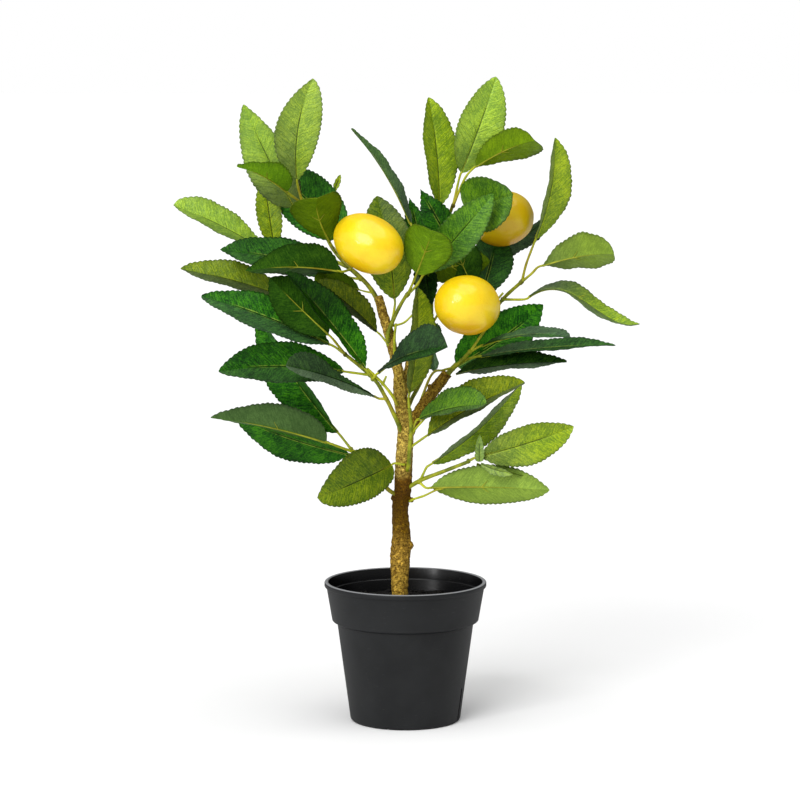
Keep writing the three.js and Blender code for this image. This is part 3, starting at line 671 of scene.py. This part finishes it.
def lemon_material():
    """Glossy lemon skin with shallow pores, greener at the stem, and orange-brown painted shade underneath.
    """
    graph = Graph("lemon_skin")
    from_stem, from_below = graph.uv("skin")
    pores = graph.cells(520)
    cloud = graph.noise(60)
    colour = graph.blend(graph.step(cloud, 0.3, 0.7), screen(225, 186, 12), screen(231, 200, 28))
    # Painted shade: orange-brown on the underside.
    colour = graph.blend(graph.fall(from_below, 0, 0.3, 0.7), colour, screen(196, 134, 4))
    colour = graph.blend(graph.fall(from_stem, 0, 0.06, 0.5), colour, screen(150, 150, 20))
    colour = graph.blend(graph.fall(pores, 0, 0.28, 0.16), colour, screen(206, 150, 8))
    colour = graph.blend(1, colour, graph.attribute("tint"), "MULTIPLY")
    graph.set(Base_Color=colour, Roughness=0.34, Coat_Roughness=0.12)
    graph.set(Subsurface_Weight=0.12, Subsurface_Radius=(0.004, 0.002, 0.0006))
    graph.gloss("Specular IOR Level", 0.25, 0.03)
    graph.gloss("Coat Weight", 0.35, 0)
    graph.bump(graph.step(pores, 0, 0.35) + cloud * 2, 0.12)
    return graph.material


# ---- shapes: points, faces, each face's material


def unit(vector):
    return vector / np.linalg.norm(vector)


def turns(count):
    """Angles evenly spaced round a circle."""
    return [2 * pi * k / count for k in range(count)]


def smooth_path(points, step=1.5):
    """Points about a step apart on a curve through the given points."""
    points = [np.asarray(p, dtype=float) for p in points]
    padded = [2 * points[0] - points[1], *points, 2 * points[-1] - points[-2]]
    path = []
    for before, start, end, after in zip(padded, padded[1:], padded[2:], padded[3:]):
        pieces = max(2, round(np.linalg.norm(end - start) / step))
        square = 2 * before - 5 * start + 4 * end - after
        cube = 3 * start - before - 3 * end + after
        for t in np.arange(pieces) / pieces:
            path.append(0.5 * (2 * start + (end - before) * t + square * t * t + cube * t ** 3))
    return np.array([*path, points[-1]])


def ring_faces(rings, sides, wrapped=False):
    """Faces between each ring of points and the next, and between the last and the first if wrapped."""
    faces = []
    for ring in range(rings if wrapped else rings - 1):
        beyond = (ring + 1) % rings
        for side in range(sides):
            ahead = (side + 1) % sides
            corners = ((ring, side), (ring, ahead), (beyond, ahead), (beyond, side))
            faces.append(tuple(r * sides + k for r, k in corners))
    return faces


def plain(points, faces):
    """A shape of one material."""
    return points, faces, [0] * len(faces)


def turned(profile, sides):
    """Rings of points about the z axis, one for each (radius, height) pair of a profile."""
    return [(radius * cos(a), radius * sin(a), height) for radius, height in profile for a in turns(sides)]


def capped_faces(rings, sides):
    """Faces between rings of points, with a cap on the first ring and one on the last."""
    last = (rings - 1) * sides
    return [*ring_faces(rings, sides), tuple(range(sides))[::-1], tuple(range(last, last + sides))]


def tube(path, radii, sides=12, material=0):
    """A closed tube along a path."""
    path = np.asarray(path, dtype=float)
    radii = np.broadcast_to(radii, len(path))
    tangents = np.gradient(path, axis=0)
    tangents /= np.linalg.norm(tangents, axis=1)[:, None]
    across = np.cross(tangents[0], (0.31, -0.82, 0.47))
    points = []
    for centre, tangent, radius in zip(path, tangents, radii):
        across = unit(across - tangent * np.dot(across, tangent))
        other = np.cross(tangent, across)
        points += [centre + radius * (across * cos(angle) + other * sin(angle)) for angle in turns(sides)]
    faces = capped_faces(len(path), sides)
    return np.array(points), faces, [material] * len(faces)


def gathered(shapes):
    """Several shapes as one."""
    all_points, all_faces, all_materials = [], [], []
    count = 0
    for points, faces, materials in shapes:
        all_points.append(points)
        all_faces.extend(tuple(count + k for k in face) for face in faces)
        all_materials.extend(materials)
        count += len(points)
    return np.concatenate(all_points), all_faces, all_materials


def swell(place, radius):
    """A small round swelling on a stem or a limb."""
    path = [np.array(place) + np.array((0, 0, radius * 1.1 * k)) for k in (-1, -0.7, 0, 0.7, 1)]
    return tube(path, [0.25 * radius, 0.75 * radius, radius, 0.75 * radius, 0.25 * radius])


def tapered(path, foot, head):
    """Radii that go from the foot's to the head's along a path, a little uneven."""
    t = np.linspace(0, 1, len(path))
    return foot + (head - foot) * t + 0.05 * np.sin(t * len(path) * 0.9)


# ---- pieces


def linked(name, data):
    """A new object in the scene."""
    thing = bpy.data.objects.new(name, data)
    bpy.context.scene.collection.objects.link(thing)
    return thing


def add_piece(name, shape, materials, replaced=None, uvs=None, tint=None, dull=None):
    """A smooth mesh from a shape in millimetres and its materials' names, riding on the tree's one body."""
    points, faces, face_materials = shape
    mesh = bpy.data.meshes.new(name)
    mesh.from_pydata((np.asarray(points, dtype=float) * MM).tolist(), [], faces)
    mesh.polygons.foreach_set("use_smooth", [True] * len(faces))
    for material in materials:
        mesh.materials.append(material_of[material])
    mesh.polygons.foreach_set("material_index", face_materials)
    corners = np.zeros(len(mesh.loops), dtype=np.int32)
    mesh.loops.foreach_get("vertex_index", corners)
    for layer_name, values in (uvs or {}).items():
        layer = mesh.uv_layers.new(name=layer_name)
        layer.data.foreach_set("uv", np.asarray(values, dtype=np.float32)[corners].ravel())
    if tint is not None:
        layer = mesh.attributes.new("tint", "FLOAT_COLOR", "POINT")
        colours = np.ones((len(mesh.vertices), 4))
        colours[:, :3] = tint
        layer.data.foreach_set("color", colours.ravel())
    # Each leaf point's share of painted sheen and shade.
    if dull is not None:
        layer = mesh.attributes.new("dull", "FLOAT", "POINT")
        layer.data.foreach_set("value", np.asarray(dull, dtype=np.float32))
    mesh.update()
    piece = linked(name, mesh)
    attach(piece, "root")
    if replaced:
        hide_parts(replaced)
    return piece


def apply_modifiers(piece):
    """Turn a piece's modifiers into mesh."""
    bpy.context.view_layer.update()
    mesh = bpy.data.meshes.new_from_object(piece.evaluated_get(bpy.context.evaluated_depsgraph_get()))
    piece.modifiers.clear()
    piece.data = mesh


# ---- leaves


def outline_at(powers, t):
    base_power, tip_power = powers
    widest = base_power / (base_power + tip_power)
    most = widest ** base_power * (1 - widest) ** tip_power
    return t ** base_power * (1 - t) ** tip_power / most


class Leaf:
    """A row of a leaf table, with the leaf's directions and its midrib."""

    def __init__(self, row):
        (self.name, base, tip, turn, self.width, self.rise, self.fold, self.outline, self.tone, self.shade,
         *self.look) = row
        self.start = np.array(base, dtype=float)
        along = tip - self.start
        self.length = np.linalg.norm(along)
        self.along = along / self.length
        front = np.array((0, -1, 0))
        normal = unit(front - self.along * np.dot(front, self.along))
        side = np.cross(self.along, normal)
        self.normal = normal * cos(radians(turn)) + side * sin(radians(turn))
        self.side = np.cross(self.along, self.normal)

    def midrib(self, t):
        t = np.asarray(t, dtype=float)[..., None]
        hump = 4 * t * (1 - t)
        foot_rise, tip_rise = np.broadcast_to(self.rise, 2)
        lift = hump * (foot_rise * (1 - t) + tip_rise * t)
        point = self.start + self.along * (GAP / 2 + (self.length - GAP / 2) * t)
        return point + self.normal * lift + self.side * hump * BOWS.get(self.name, 0)

    def direction(self):
        return unit(self.midrib(0.01) - self.midrib(0))


def half_widths(leaf, t, teeth):
    """The toothed edge's distance from the midrib on the negative and on the positive side."""
    tooth = 1 - np.abs(np.sin(pi * teeth * t))
    halves = []
    for *outline, share in HALVES.get(leaf.name, [[*leaf.outline, 1]] * 2):
        envelope = outline_at(outline, t) * share * leaf.width / 2
        notch = TOOTH_DEPTH * tooth * np.clip(envelope / 4, 0, 1)
        halves.append(np.maximum(envelope - notch, 0.35 + 0.5 * (1 - t)))
    return halves


def leaf_ribs(leaf):
    """The moulded rib under a leaf, thinner towards the tip, and a pair of short side ribs."""
    size = min(1, leaf.length / 60)
    place = np.linspace(0, RIB_END, 30)
    radius = RIB_RADIUS * (1 - place / (RIB_END + 0.04)) ** 0.8 * size
    under = leaf.normal * (LEAF_THICKNESS / 2 + 0.3)
    ribs = [tube(leaf.midrib(place) - under - leaf.normal * radius[:, None] * 0.25, radius, 8, material=2)]
    fold = radians(leaf.fold)
    widths = np.linspace(0.4, 0.12, 6)
    reach = np.linspace(0, SIDE_RIB_LENGTH, len(widths))[:, None] * size
    for hand in (-1, 1):
        slope = sin(fold) * leaf.normal + hand * cos(fold) * leaf.side
        branch = leaf.midrib(SIDE_RIB_AT) - under + reach * (leaf.along + slope)
        ribs.append(tube(branch, widths, 6, material=2))
    return ribs


def sheet_faces(grid):
    """The faces of a thin sheet with a grid of points on each side, and each face's material: 0 on the upper
    side and the rim, 1 on the underside."""
    count = grid.size
    upper = np.stack([grid[:-1, :-1], grid[:-1, 1:], grid[1:, 1:], grid[1:, :-1]], axis=-1).reshape(-1, 4)
    edge = np.concatenate([grid[0, ::-1], grid[1:, 0], grid[-1, 1:], grid[-2:0:-1, -1]])
    ahead = np.roll(edge, -1)
    rim = np.stack([edge, ahead, ahead + count, edge + count], axis=-1)
    faces = np.concatenate([upper, upper[:, ::-1] + count, rim])
    return faces.tolist(), [0] * len(upper) + [1] * len(upper) + [0] * len(rim)


def leaf_shape(leaf, chance):
    """A leaf's folded, waved cloth with its ribs, and the UV layers."""
    t = np.linspace(0, 1, max(24, round(leaf.length / STATION_STEP)) + 1)[:, None]
    s = np.array([-a for a in reversed(ACROSS[1:])] + ACROSS)
    teeth = max(4, round(leaf.length / TOOTH_PITCH))
    half = np.where(s < 0, *half_widths(leaf, t, teeth))
    turn = np.radians(TWISTS.get(leaf.name, 0)) * (t - 0.5)
    side = np.cos(turn) * leaf.side - np.sin(turn) * leaf.normal
    normal = np.cos(turn) * leaf.normal + np.sin(turn) * leaf.side
    fold = radians(leaf.fold)
    reach = s * half
    waves = 1.6 + 1.4 * chance.random()
    phases = np.where(s < 0, chance.random(), chance.random())
    size = min(1, leaf.width / 30) * (0.5 + 0.5 * chance.random())
    wave = size * np.sin(2 * pi * (waves * t + phases)) * np.abs(s) ** 2.2
    flutter = 0.22 * np.sin(2 * pi * (teeth / 3 * t + 3 * phases)) * np.abs(s) ** 5
    valley = -0.4 * np.exp(-((reach / 0.8) ** 2)) * np.clip(half / 4, 0, 1)
    lift = np.abs(s) ** 1.08 * half * sin(fold) + valley + wave + flutter
    flat = leaf.midrib(t[:, 0])[:, None] + side[:, None] * (reach * cos(fold))[..., None]
    levels = (lift + LEAF_THICKNESS / 2, lift - LEAF_THICKNESS / 2)
    points = np.concatenate([flat + normal[:, None] * level[..., None] for level in levels]).reshape(-1, 3)
    faces, materials = sheet_faces(np.arange(reach.size).reshape(reach.shape))
    shape = gathered([(points, faces, materials), *leaf_ribs(leaf)])

    uvs = {}
    for name, axes in {"cloth": (t * leaf.length / CLOTH_SPAN, reach / CLOTH_SPAN), "unit": (t, s)}.items():
        sheet = np.stack(np.broadcast_arrays(*axes), axis=-1).reshape(-1, 2)
        uvs[name] = np.concatenate([sheet, sheet, np.zeros((len(shape[0]) - len(points), 2))])
    return shape, uvs


def along_leaf(ends, t):
    """A level that goes from the foot's to the tip's, where they differ."""
    foot, tip = np.broadcast_to(ends, 2)
    return foot + (tip - foot) * np.clip(2.5 * t - 0.5, 0, 1)


def add_leaf(leaf, replaced=None):
    chance = random.Random(SEED + sum(map(ord, leaf.name)))
    level, *sheen_and_shade_ends = leaf.look or (1,)
    shape, uvs = leaf_shape(leaf, chance)
    t, across = uvs["unit"].T
    # Painted shade: the leaf's lightness stands partly for shade on it, and where it goes from foot to tip,
    # for shade that falls on one end.
    light = along_leaf(level, t) * chance.uniform(0.95, 1.05)
    tint = np.stack([light * chance.uniform(0.94, 1.06), light, light * chance.uniform(0.9, 1.1)], axis=-1)
    # Painted sheen and shade on each half, none at the midrib.
    dull = np.where(across < 0, *(along_leaf(half, t) for half in sheen_and_shade_ends or (0, 0)))
    dull = dull * np.clip(np.abs(across) * 12, 0, 1)
    materials = [("upper", leaf.shade), ("under", leaf.shade), "rib"]
    add_piece("fine_leaf_" + leaf.name, shape, materials, replaced, uvs, tint, dull)


# ---- sprigs, lemons, trunk, pot, fill


def lemon_axis(name):
    """A lemon's stem end, the direction from there to its tip, and its length."""
    start, tip = (np.array(end, dtype=float) for end in LEMONS[name][:2])
    return start, unit(tip - start), np.linalg.norm(tip - start)


def sprig_shape(name, sprig):
    """A sprig's stem, petioles and fruit stalks, with a swelling where the stem and each petiole start."""
    shapes = []
    if "stem" in sprig:
        path = smooth_path(sprig["stem"])
        shapes.append(tube(path, tapered(path, STEM_RADIUS * 1.12, STEM_RADIUS * 0.85)))
        shapes.append(swell(path[1], STEM_RADIUS * 1.6))
    for number, route in enumerate(sprig["petioles"], 1):
        leaf = leaf_of[f"{name}_{number}"]
        inward = leaf.direction()
        path = smooth_path([*route, leaf.start - inward * PETIOLE_LEAD, leaf.start + inward * 1.2])
        shapes.append(tube(path, tapered(path, PETIOLE_RADIUS * 1.1, PETIOLE_RADIUS * 0.85), material=1))
        shapes.append(swell(path[0], STEM_RADIUS * 1.15))
    for lemon, route in sprig.get("stalks", {}).items():
        start, inward, _ = lemon_axis(lemon)
        path = smooth_path([*route, start - inward * PETIOLE_LEAD, start + inward])
        shapes.append(tube(path, tapered(path, PETIOLE_RADIUS, PETIOLE_RADIUS * 1.3), material=1))
    return gathered(shapes)


def add_lemon(name):
    """An egg-shaped fruit with a low nipple at the tip and a small calyx of five lobes at the stem."""
    start, axis, length = lemon_axis(name)
    diameter, tint = LEMONS[name][2:]
    across = unit(np.cross(axis, (0.2, 0.1, 1)))
    other = np.cross(axis, across)
    points, skin = [], []
    for step in range(LEMON_RINGS):
        angle = pi * step / (LEMON_RINGS - 1)
        height = length / 2 * (1 - cos(angle))
        dimple = 0.8 * exp(-((angle / 0.16) ** 2))
        nipple = 0.36 * exp(-(((pi - angle) / 0.14) ** 2))
        radius = max(diameter / 2 * sin(angle) ** 0.94 * (1 - 0.05 * cos(angle) ** 3), 0.05)
        for turn in turns(LEMON_SIDES):
            out = across * cos(turn) + other * sin(turn)
            point = start + axis * (height + dimple + nipple) + out * radius
            points.append(point + out * noise.noise(Vector(point * 0.07)) * 0.5 * sin(angle))
            skin.append((step / (LEMON_RINGS - 1), 0.5 + 0.5 * out[2] * sin(angle)))
    shape = plain(points, capped_faces(LEMON_RINGS, LEMON_SIDES))
    add_piece("fine_" + name, shape, ["lemon"], name, {"skin": skin}, tint)

    calyx = [tube([start + axis * k for k in (-0.9, -0.5, 0.4, 1.2)], [1.3, 2.1, 2.6, 2.2], 20)]
    for turn in turns(5):
        out = across * cos(turn) + other * sin(turn)
        path = [start + axis * 0.2 + out * 1.5, start + axis * 0.5 + out * 3, start + axis * 1.2 + out * 4]
        calyx.append(tube(path, [0.9, 0.75, 0.2], 8))
    add_piece("calyx_" + name, gathered(calyx), ["stem"])


def add_trunk():
    """The limbs, fused by a remesh, with wrapped ridges and pits pushed into the skin."""
    limbs = []
    for limb in (TRUNK, RIGHT_BRANCH, REAR_BRANCH):
        path = smooth_path([p[:3] for p in limb], 2)
        radii = smooth_path([[p[3], 0, k] for k, p in enumerate(limb)], 0.5)[:, 0]
        radii = np.interp(np.linspace(0, 1, len(path)), np.linspace(0, 1, len(radii)), radii)
        limbs.append(tube(path, radii, TRUNK_SIDES))
    knots = [swell(place, size) for place, size in KNOTS]
    trunk = add_piece("fine_trunk", gathered(limbs + knots), ["bark"], "trunk")
    remesh = trunk.modifiers.new("fuse", "REMESH")
    remesh.mode = "VOXEL"
    remesh.voxel_size = TRUNK_VOXEL * MM
    remesh.use_smooth_shade = True
    soften = trunk.modifiers.new("soften", "SMOOTH")
    soften.iterations = 4
    apply_modifiers(trunk)
    mesh = trunk.data
    if not mesh.materials:
        mesh.materials.append(material_of["bark"])
    places, normals = np.zeros((2, len(mesh.vertices) * 3))
    mesh.vertices.foreach_get("co", places)
    mesh.vertices.foreach_get("normal", normals)
    depths = []
    for x, y, z in places.reshape(-1, 3) / MM:
        broad = noise.noise(Vector((x, y, z)) * 0.22)
        small = noise.noise(Vector((x, y, z * 0.8)) * 0.75)
        tape = sin(z * 2 * pi / TAPE_PITCH + 1.2 * atan2(y, x + 3) + 3 * broad)
        depths.append(0.4 * broad + 0.3 * small + 0.16 * tape ** 3 - 0.5)
    mesh.vertices.foreach_set("co", places + normals * (np.repeat(depths, 3) * MM))
    mesh.update()


def arc(centre, radius, start, end, steps=5):
    """Points on an arc of a profile, angles in degrees from the outward direction."""
    angles = [radians(start + (end - start) * k / steps) for k in range(steps + 1)]
    return [(centre[0] + radius * cos(a), centre[1] + radius * sin(a)) for a in angles]


def pot_profile():
    """The pot's section: (radius, height) pairs from the underside, round the lip, to the floor inside."""
    outer = RIM_RADIUS - LIP_DEPTH
    lip_foot = POT_HEIGHT - LIP_HEIGHT
    inner = outer - WALL
    ledge = POT_HEIGHT - LEDGE_DROP
    return [
        (0.5, 0),
        (BODY_FOOT_RADIUS - 4, 0),
        (BODY_FOOT_RADIUS - 3.4, 0.25),
        *arc((BODY_FOOT_RADIUS - CORNER, CORNER), CORNER, -80, 0),
        (BODY_TOP_RADIUS, BAND_FOOT - CORNER),
        (BODY_TOP_RADIUS + 0.5, BAND_FOOT - CORNER + 0.2),
        *arc((BAND_FOOT_RADIUS - CORNER / 2, BAND_FOOT), CORNER / 2, -70, 0),
        (outer, lip_foot - 0.6),
        (outer + 0.2, lip_foot),
        *arc((RIM_RADIUS - LIP_ROUND, lip_foot + LIP_ROUND), LIP_ROUND, -70, 0, 4),
        *arc((RIM_RADIUS - LIP_ROUND, POT_HEIGHT - LIP_ROUND), LIP_ROUND, 0, 90),
        *arc((inner + 0.6, POT_HEIGHT - 0.6), 0.6, 90, 180, 3),
        (inner - 0.8, ledge + 0.6),
        (inner - 0.8 - LEDGE_WIDTH, ledge),
        (BAND_FOOT_RADIUS - WALL, BAND_FOOT + CORNER / 2),
        (BODY_TOP_RADIUS - WALL, BAND_FOOT),
        (BODY_FOOT_RADIUS - WALL, FLOOR + CORNER),
        (BODY_FOOT_RADIUS - WALL - CORNER / 2, FLOOR),
        (0.5, FLOOR),
    ]


def add_pot():
    """The turned pot, with two drain slots and two notches cut through its foot."""
    profile = pot_profile()
    shape = plain(turned(profile, POT_SIDES), ring_faces(len(profile), POT_SIDES, wrapped=True))
    pot = add_piece("fine_pot", shape, ["pot"], "pot")
    cutters = []
    for cut in range(4):
        width, height = (NOTCH_WIDTH, NOTCH_HEIGHT) if cut % 2 else (SLOT_WIDTH, SLOT_HEIGHT)
        mesh = bpy.data.meshes.new("cutter")
        corners = [(x, y, z) for x in (-1, 1) for y in (-1, 1) for z in (-1, 1)]
        mesh.from_pydata(corners, [], [(0, 1, 3, 2), (4, 6, 7, 5), (0, 4, 5, 1), (2, 3, 7, 6), (0, 2, 6, 4),
                                       (1, 5, 7, 3)])
        mesh.transform(Matrix.Rotation(radians(FIRST_CUT_TURN + 90 * cut), 4, "Z")
                       @ Matrix.Translation((0, -BODY_FOOT_RADIUS * MM, 0))
                       @ Matrix.Diagonal((width / 2 * MM, CUT_REACH * MM, height * MM, 1)))
        cutters.append(linked("cutter", mesh))
        subtract = pot.modifiers.new("cut", "BOOLEAN")
        subtract.object = cutters[-1]
        subtract.solver = "EXACT"
    apply_modifiers(pot)
    for cutter in cutters:
        bpy.data.objects.remove(cutter)
    pot.data.polygons.foreach_set("use_smooth", [True] * len(pot.data.polygons))
    pot.data.set_sharp_from_angle(angle=radians(SHARP_ANGLE))


def hummock(x, y):
    """The fill's broad unevenness."""
    return noise.noise(Vector((x, y, 3)) * 0.12)


def add_fill(top_radius):
    """The fill, with a lumpy top, down to the pot's floor."""
    below = [
        (BAND_FOOT_RADIUS - WALL - 1, BAND_FOOT + 2),
        (BODY_TOP_RADIUS - WALL - 1, BAND_FOOT - 1),
        (BODY_FOOT_RADIUS - WALL - 1, FLOOR + CORNER + 1),
    ]
    points = []
    for radius in np.linspace(0.4, top_radius, FILL_RINGS):
        for angle in turns(FILL_SIDES):
            x, y = radius * cos(angle), radius * sin(angle)
            crumb = noise.noise(Vector((x, y, 9)) * 0.45) * 0.7
            points.append((x, y, FILL_TOP - 0.9 + hummock(x, y) + crumb))
    faces = capped_faces(FILL_RINGS + len(below), FILL_SIDES)
    shape = plain(points + turned(below, FILL_SIDES), [face[::-1] for face in faces])
    add_piece("fine_fill", shape, ["fill"], "potting_fill")


def add_chips(top_radius):
    """Loose chips lying on the fill, clear of the trunk."""
    chance = random.Random(SEED)
    chips = []
    for _ in range(CHIPS):
        distance = top_radius * sqrt(chance.random()) * 0.96
        angle = chance.uniform(0, 2 * pi)
        x, y = distance * cos(angle), distance * sin(angle)
        if hypot(x - TRUNK[0][0], y) < CHIP_FREE_RADIUS:
            continue
        size = chance.uniform(0.6, 1.9)
        heading = np.array((chance.uniform(-1, 1), chance.uniform(-1, 1), chance.uniform(-0.3, 0.3)))
        heading = unit(heading) * size * chance.uniform(0.8, 1.7)
        centre = np.array((x, y, FILL_TOP - 0.3 + hummock(x, y)))
        path = [centre + heading * k for k in (-1, -0.6, 0, 0.6, 1)]
        widths = [0.25 * size, 0.8 * size, size * chance.uniform(0.8, 1.1), 0.7 * size, 0.2 * size]
        points, faces, materials = tube(path, widths, CHIP_SIDES)
        jitter = np.array([noise.noise_vector(Vector(p) * 1.3) for p in points]) * 0.35 * size
        chips.append((points + jitter, faces, materials))
    add_piece("fill_chips", gathered(chips), ["fill"])


# ---- the tree

material_of = {("upper", shade): leaf_material(shade, False) for shade in SHADES}
material_of.update({("under", shade): leaf_material(shade, True) for shade in SHADES})
material_of["rib"] = stem_material("rib_plastic", (164, 168, 44), (126, 134, 22), (134, 112, 22))
material_of["stem"] = stem_material("stem_plastic", (150, 154, 26), (92, 104, 10), (112, 86, 18))
material_of["petiole"] = stem_material("petiole_plastic", (182, 184, 42), (138, 148, 18), (150, 128, 28))
material_of["bark"] = bark_material()
material_of["pot"] = pot_material()
material_of["fill"] = fill_material()
material_of["lemon"] = lemon_material()

leaf_of = {row[0]: Leaf(row) for row in LEAVES}

add_pot()
fill_radius = BAND_FOOT_RADIUS + BAND_SLOPE * (FILL_TOP - BAND_FOOT - 2) - WALL - 2 * GAP
add_fill(fill_radius)
add_chips(fill_radius)
add_trunk()
for name, sprig in SPRIGS.items():
    shape = sprig_shape(name, sprig)
    add_piece("fine_sprig_" + name, shape, ["stem", "petiole"], "sprig_" + name)
for name, (*route, radius) in THIN_STEMS.items():
    path = smooth_path(route)
    shape = tube(path, tapered(path, radius * 1.15, radius * 0.85))
    add_piece("stem_" + name, shape, ["petiole"])
for name in LEMONS:
    add_lemon(name)
for leaf in leaf_of.values():
    add_leaf(leaf, "leaf_" + leaf.name)
for row in SMALL_LEAVES:
    add_leaf(Leaf(row))

# ---- floor, light and camera

FLOOR_REACH = 30
floor_mesh = bpy.data.meshes.new("floor")
floor_corners = [(x * FLOOR_REACH, y * FLOOR_REACH, 0) for x, y in ((-1, -1), (1, -1), (1, 1), (-1, 1))]
floor_mesh.from_pydata(floor_corners, [], [(0, 1, 2, 3)])
floor_look = Graph("floor")
floor_colour = floor_look.blend(floor_look.noise(3), (0.86, 0.86, 0.86), (0.9, 0.9, 0.9))
floor_look.set(Base_Color=floor_colour, Roughness=0.9)
floor_mesh.materials.append(floor_look.material)
linked("floor", floor_mesh)

# White behind the tree, and a softer, dimmer white around it for the light.
AROUND = 0.34
world = bpy.data.worlds.new("studio")
world.use_nodes = True
world_nodes = world.node_tree.nodes
world_links = world.node_tree.links
background = world_nodes["Background"]
background.inputs["Color"].default_value = (1, 1, 1, 1)
level = world_nodes.new("ShaderNodeMapRange")
level.inputs["To Min"].default_value = AROUND
level.inputs["To Max"].default_value = 1
world_links.new(world_nodes.new("ShaderNodeLightPath").outputs["Is Camera Ray"], level.inputs["Value"])
world_links.new(level.outputs[0], background.inputs["Strength"])
bpy.context.scene.world = world
bpy.context.scene.view_settings.view_transform = "Standard"


def add_softbox(name, azimuth, elevation, spread, strength):
    """A far, broad light from an azimuth (degrees left of the camera) and an elevation."""
    lamp = bpy.data.lights.new(name, "SUN")
    lamp.energy = strength
    lamp.angle = radians(spread)
    linked(name, lamp).rotation_euler = (radians(90 - elevation), 0, radians(-azimuth))


add_softbox("key", 26, 30, 34, 2.1)
add_softbox("sparkle", 44, 12, 8, 0.32)
add_softbox("left", 60, 30, 70, 0.5)
add_softbox("top", -20, 76, 60, 1.7)

camera_data = bpy.data.cameras.new("camera")
camera_data.sensor_width = SENSOR_WIDTH
camera_data.lens = LENS
camera_data.clip_end = FAR_CLIP
camera = linked("camera", camera_data)
camera.location = Vector(CAMERA_PLACE) * MM
camera.rotation_euler = (radians(90 - CAMERA_PITCH), 0, 0)
bpy.context.scene.camera = camera
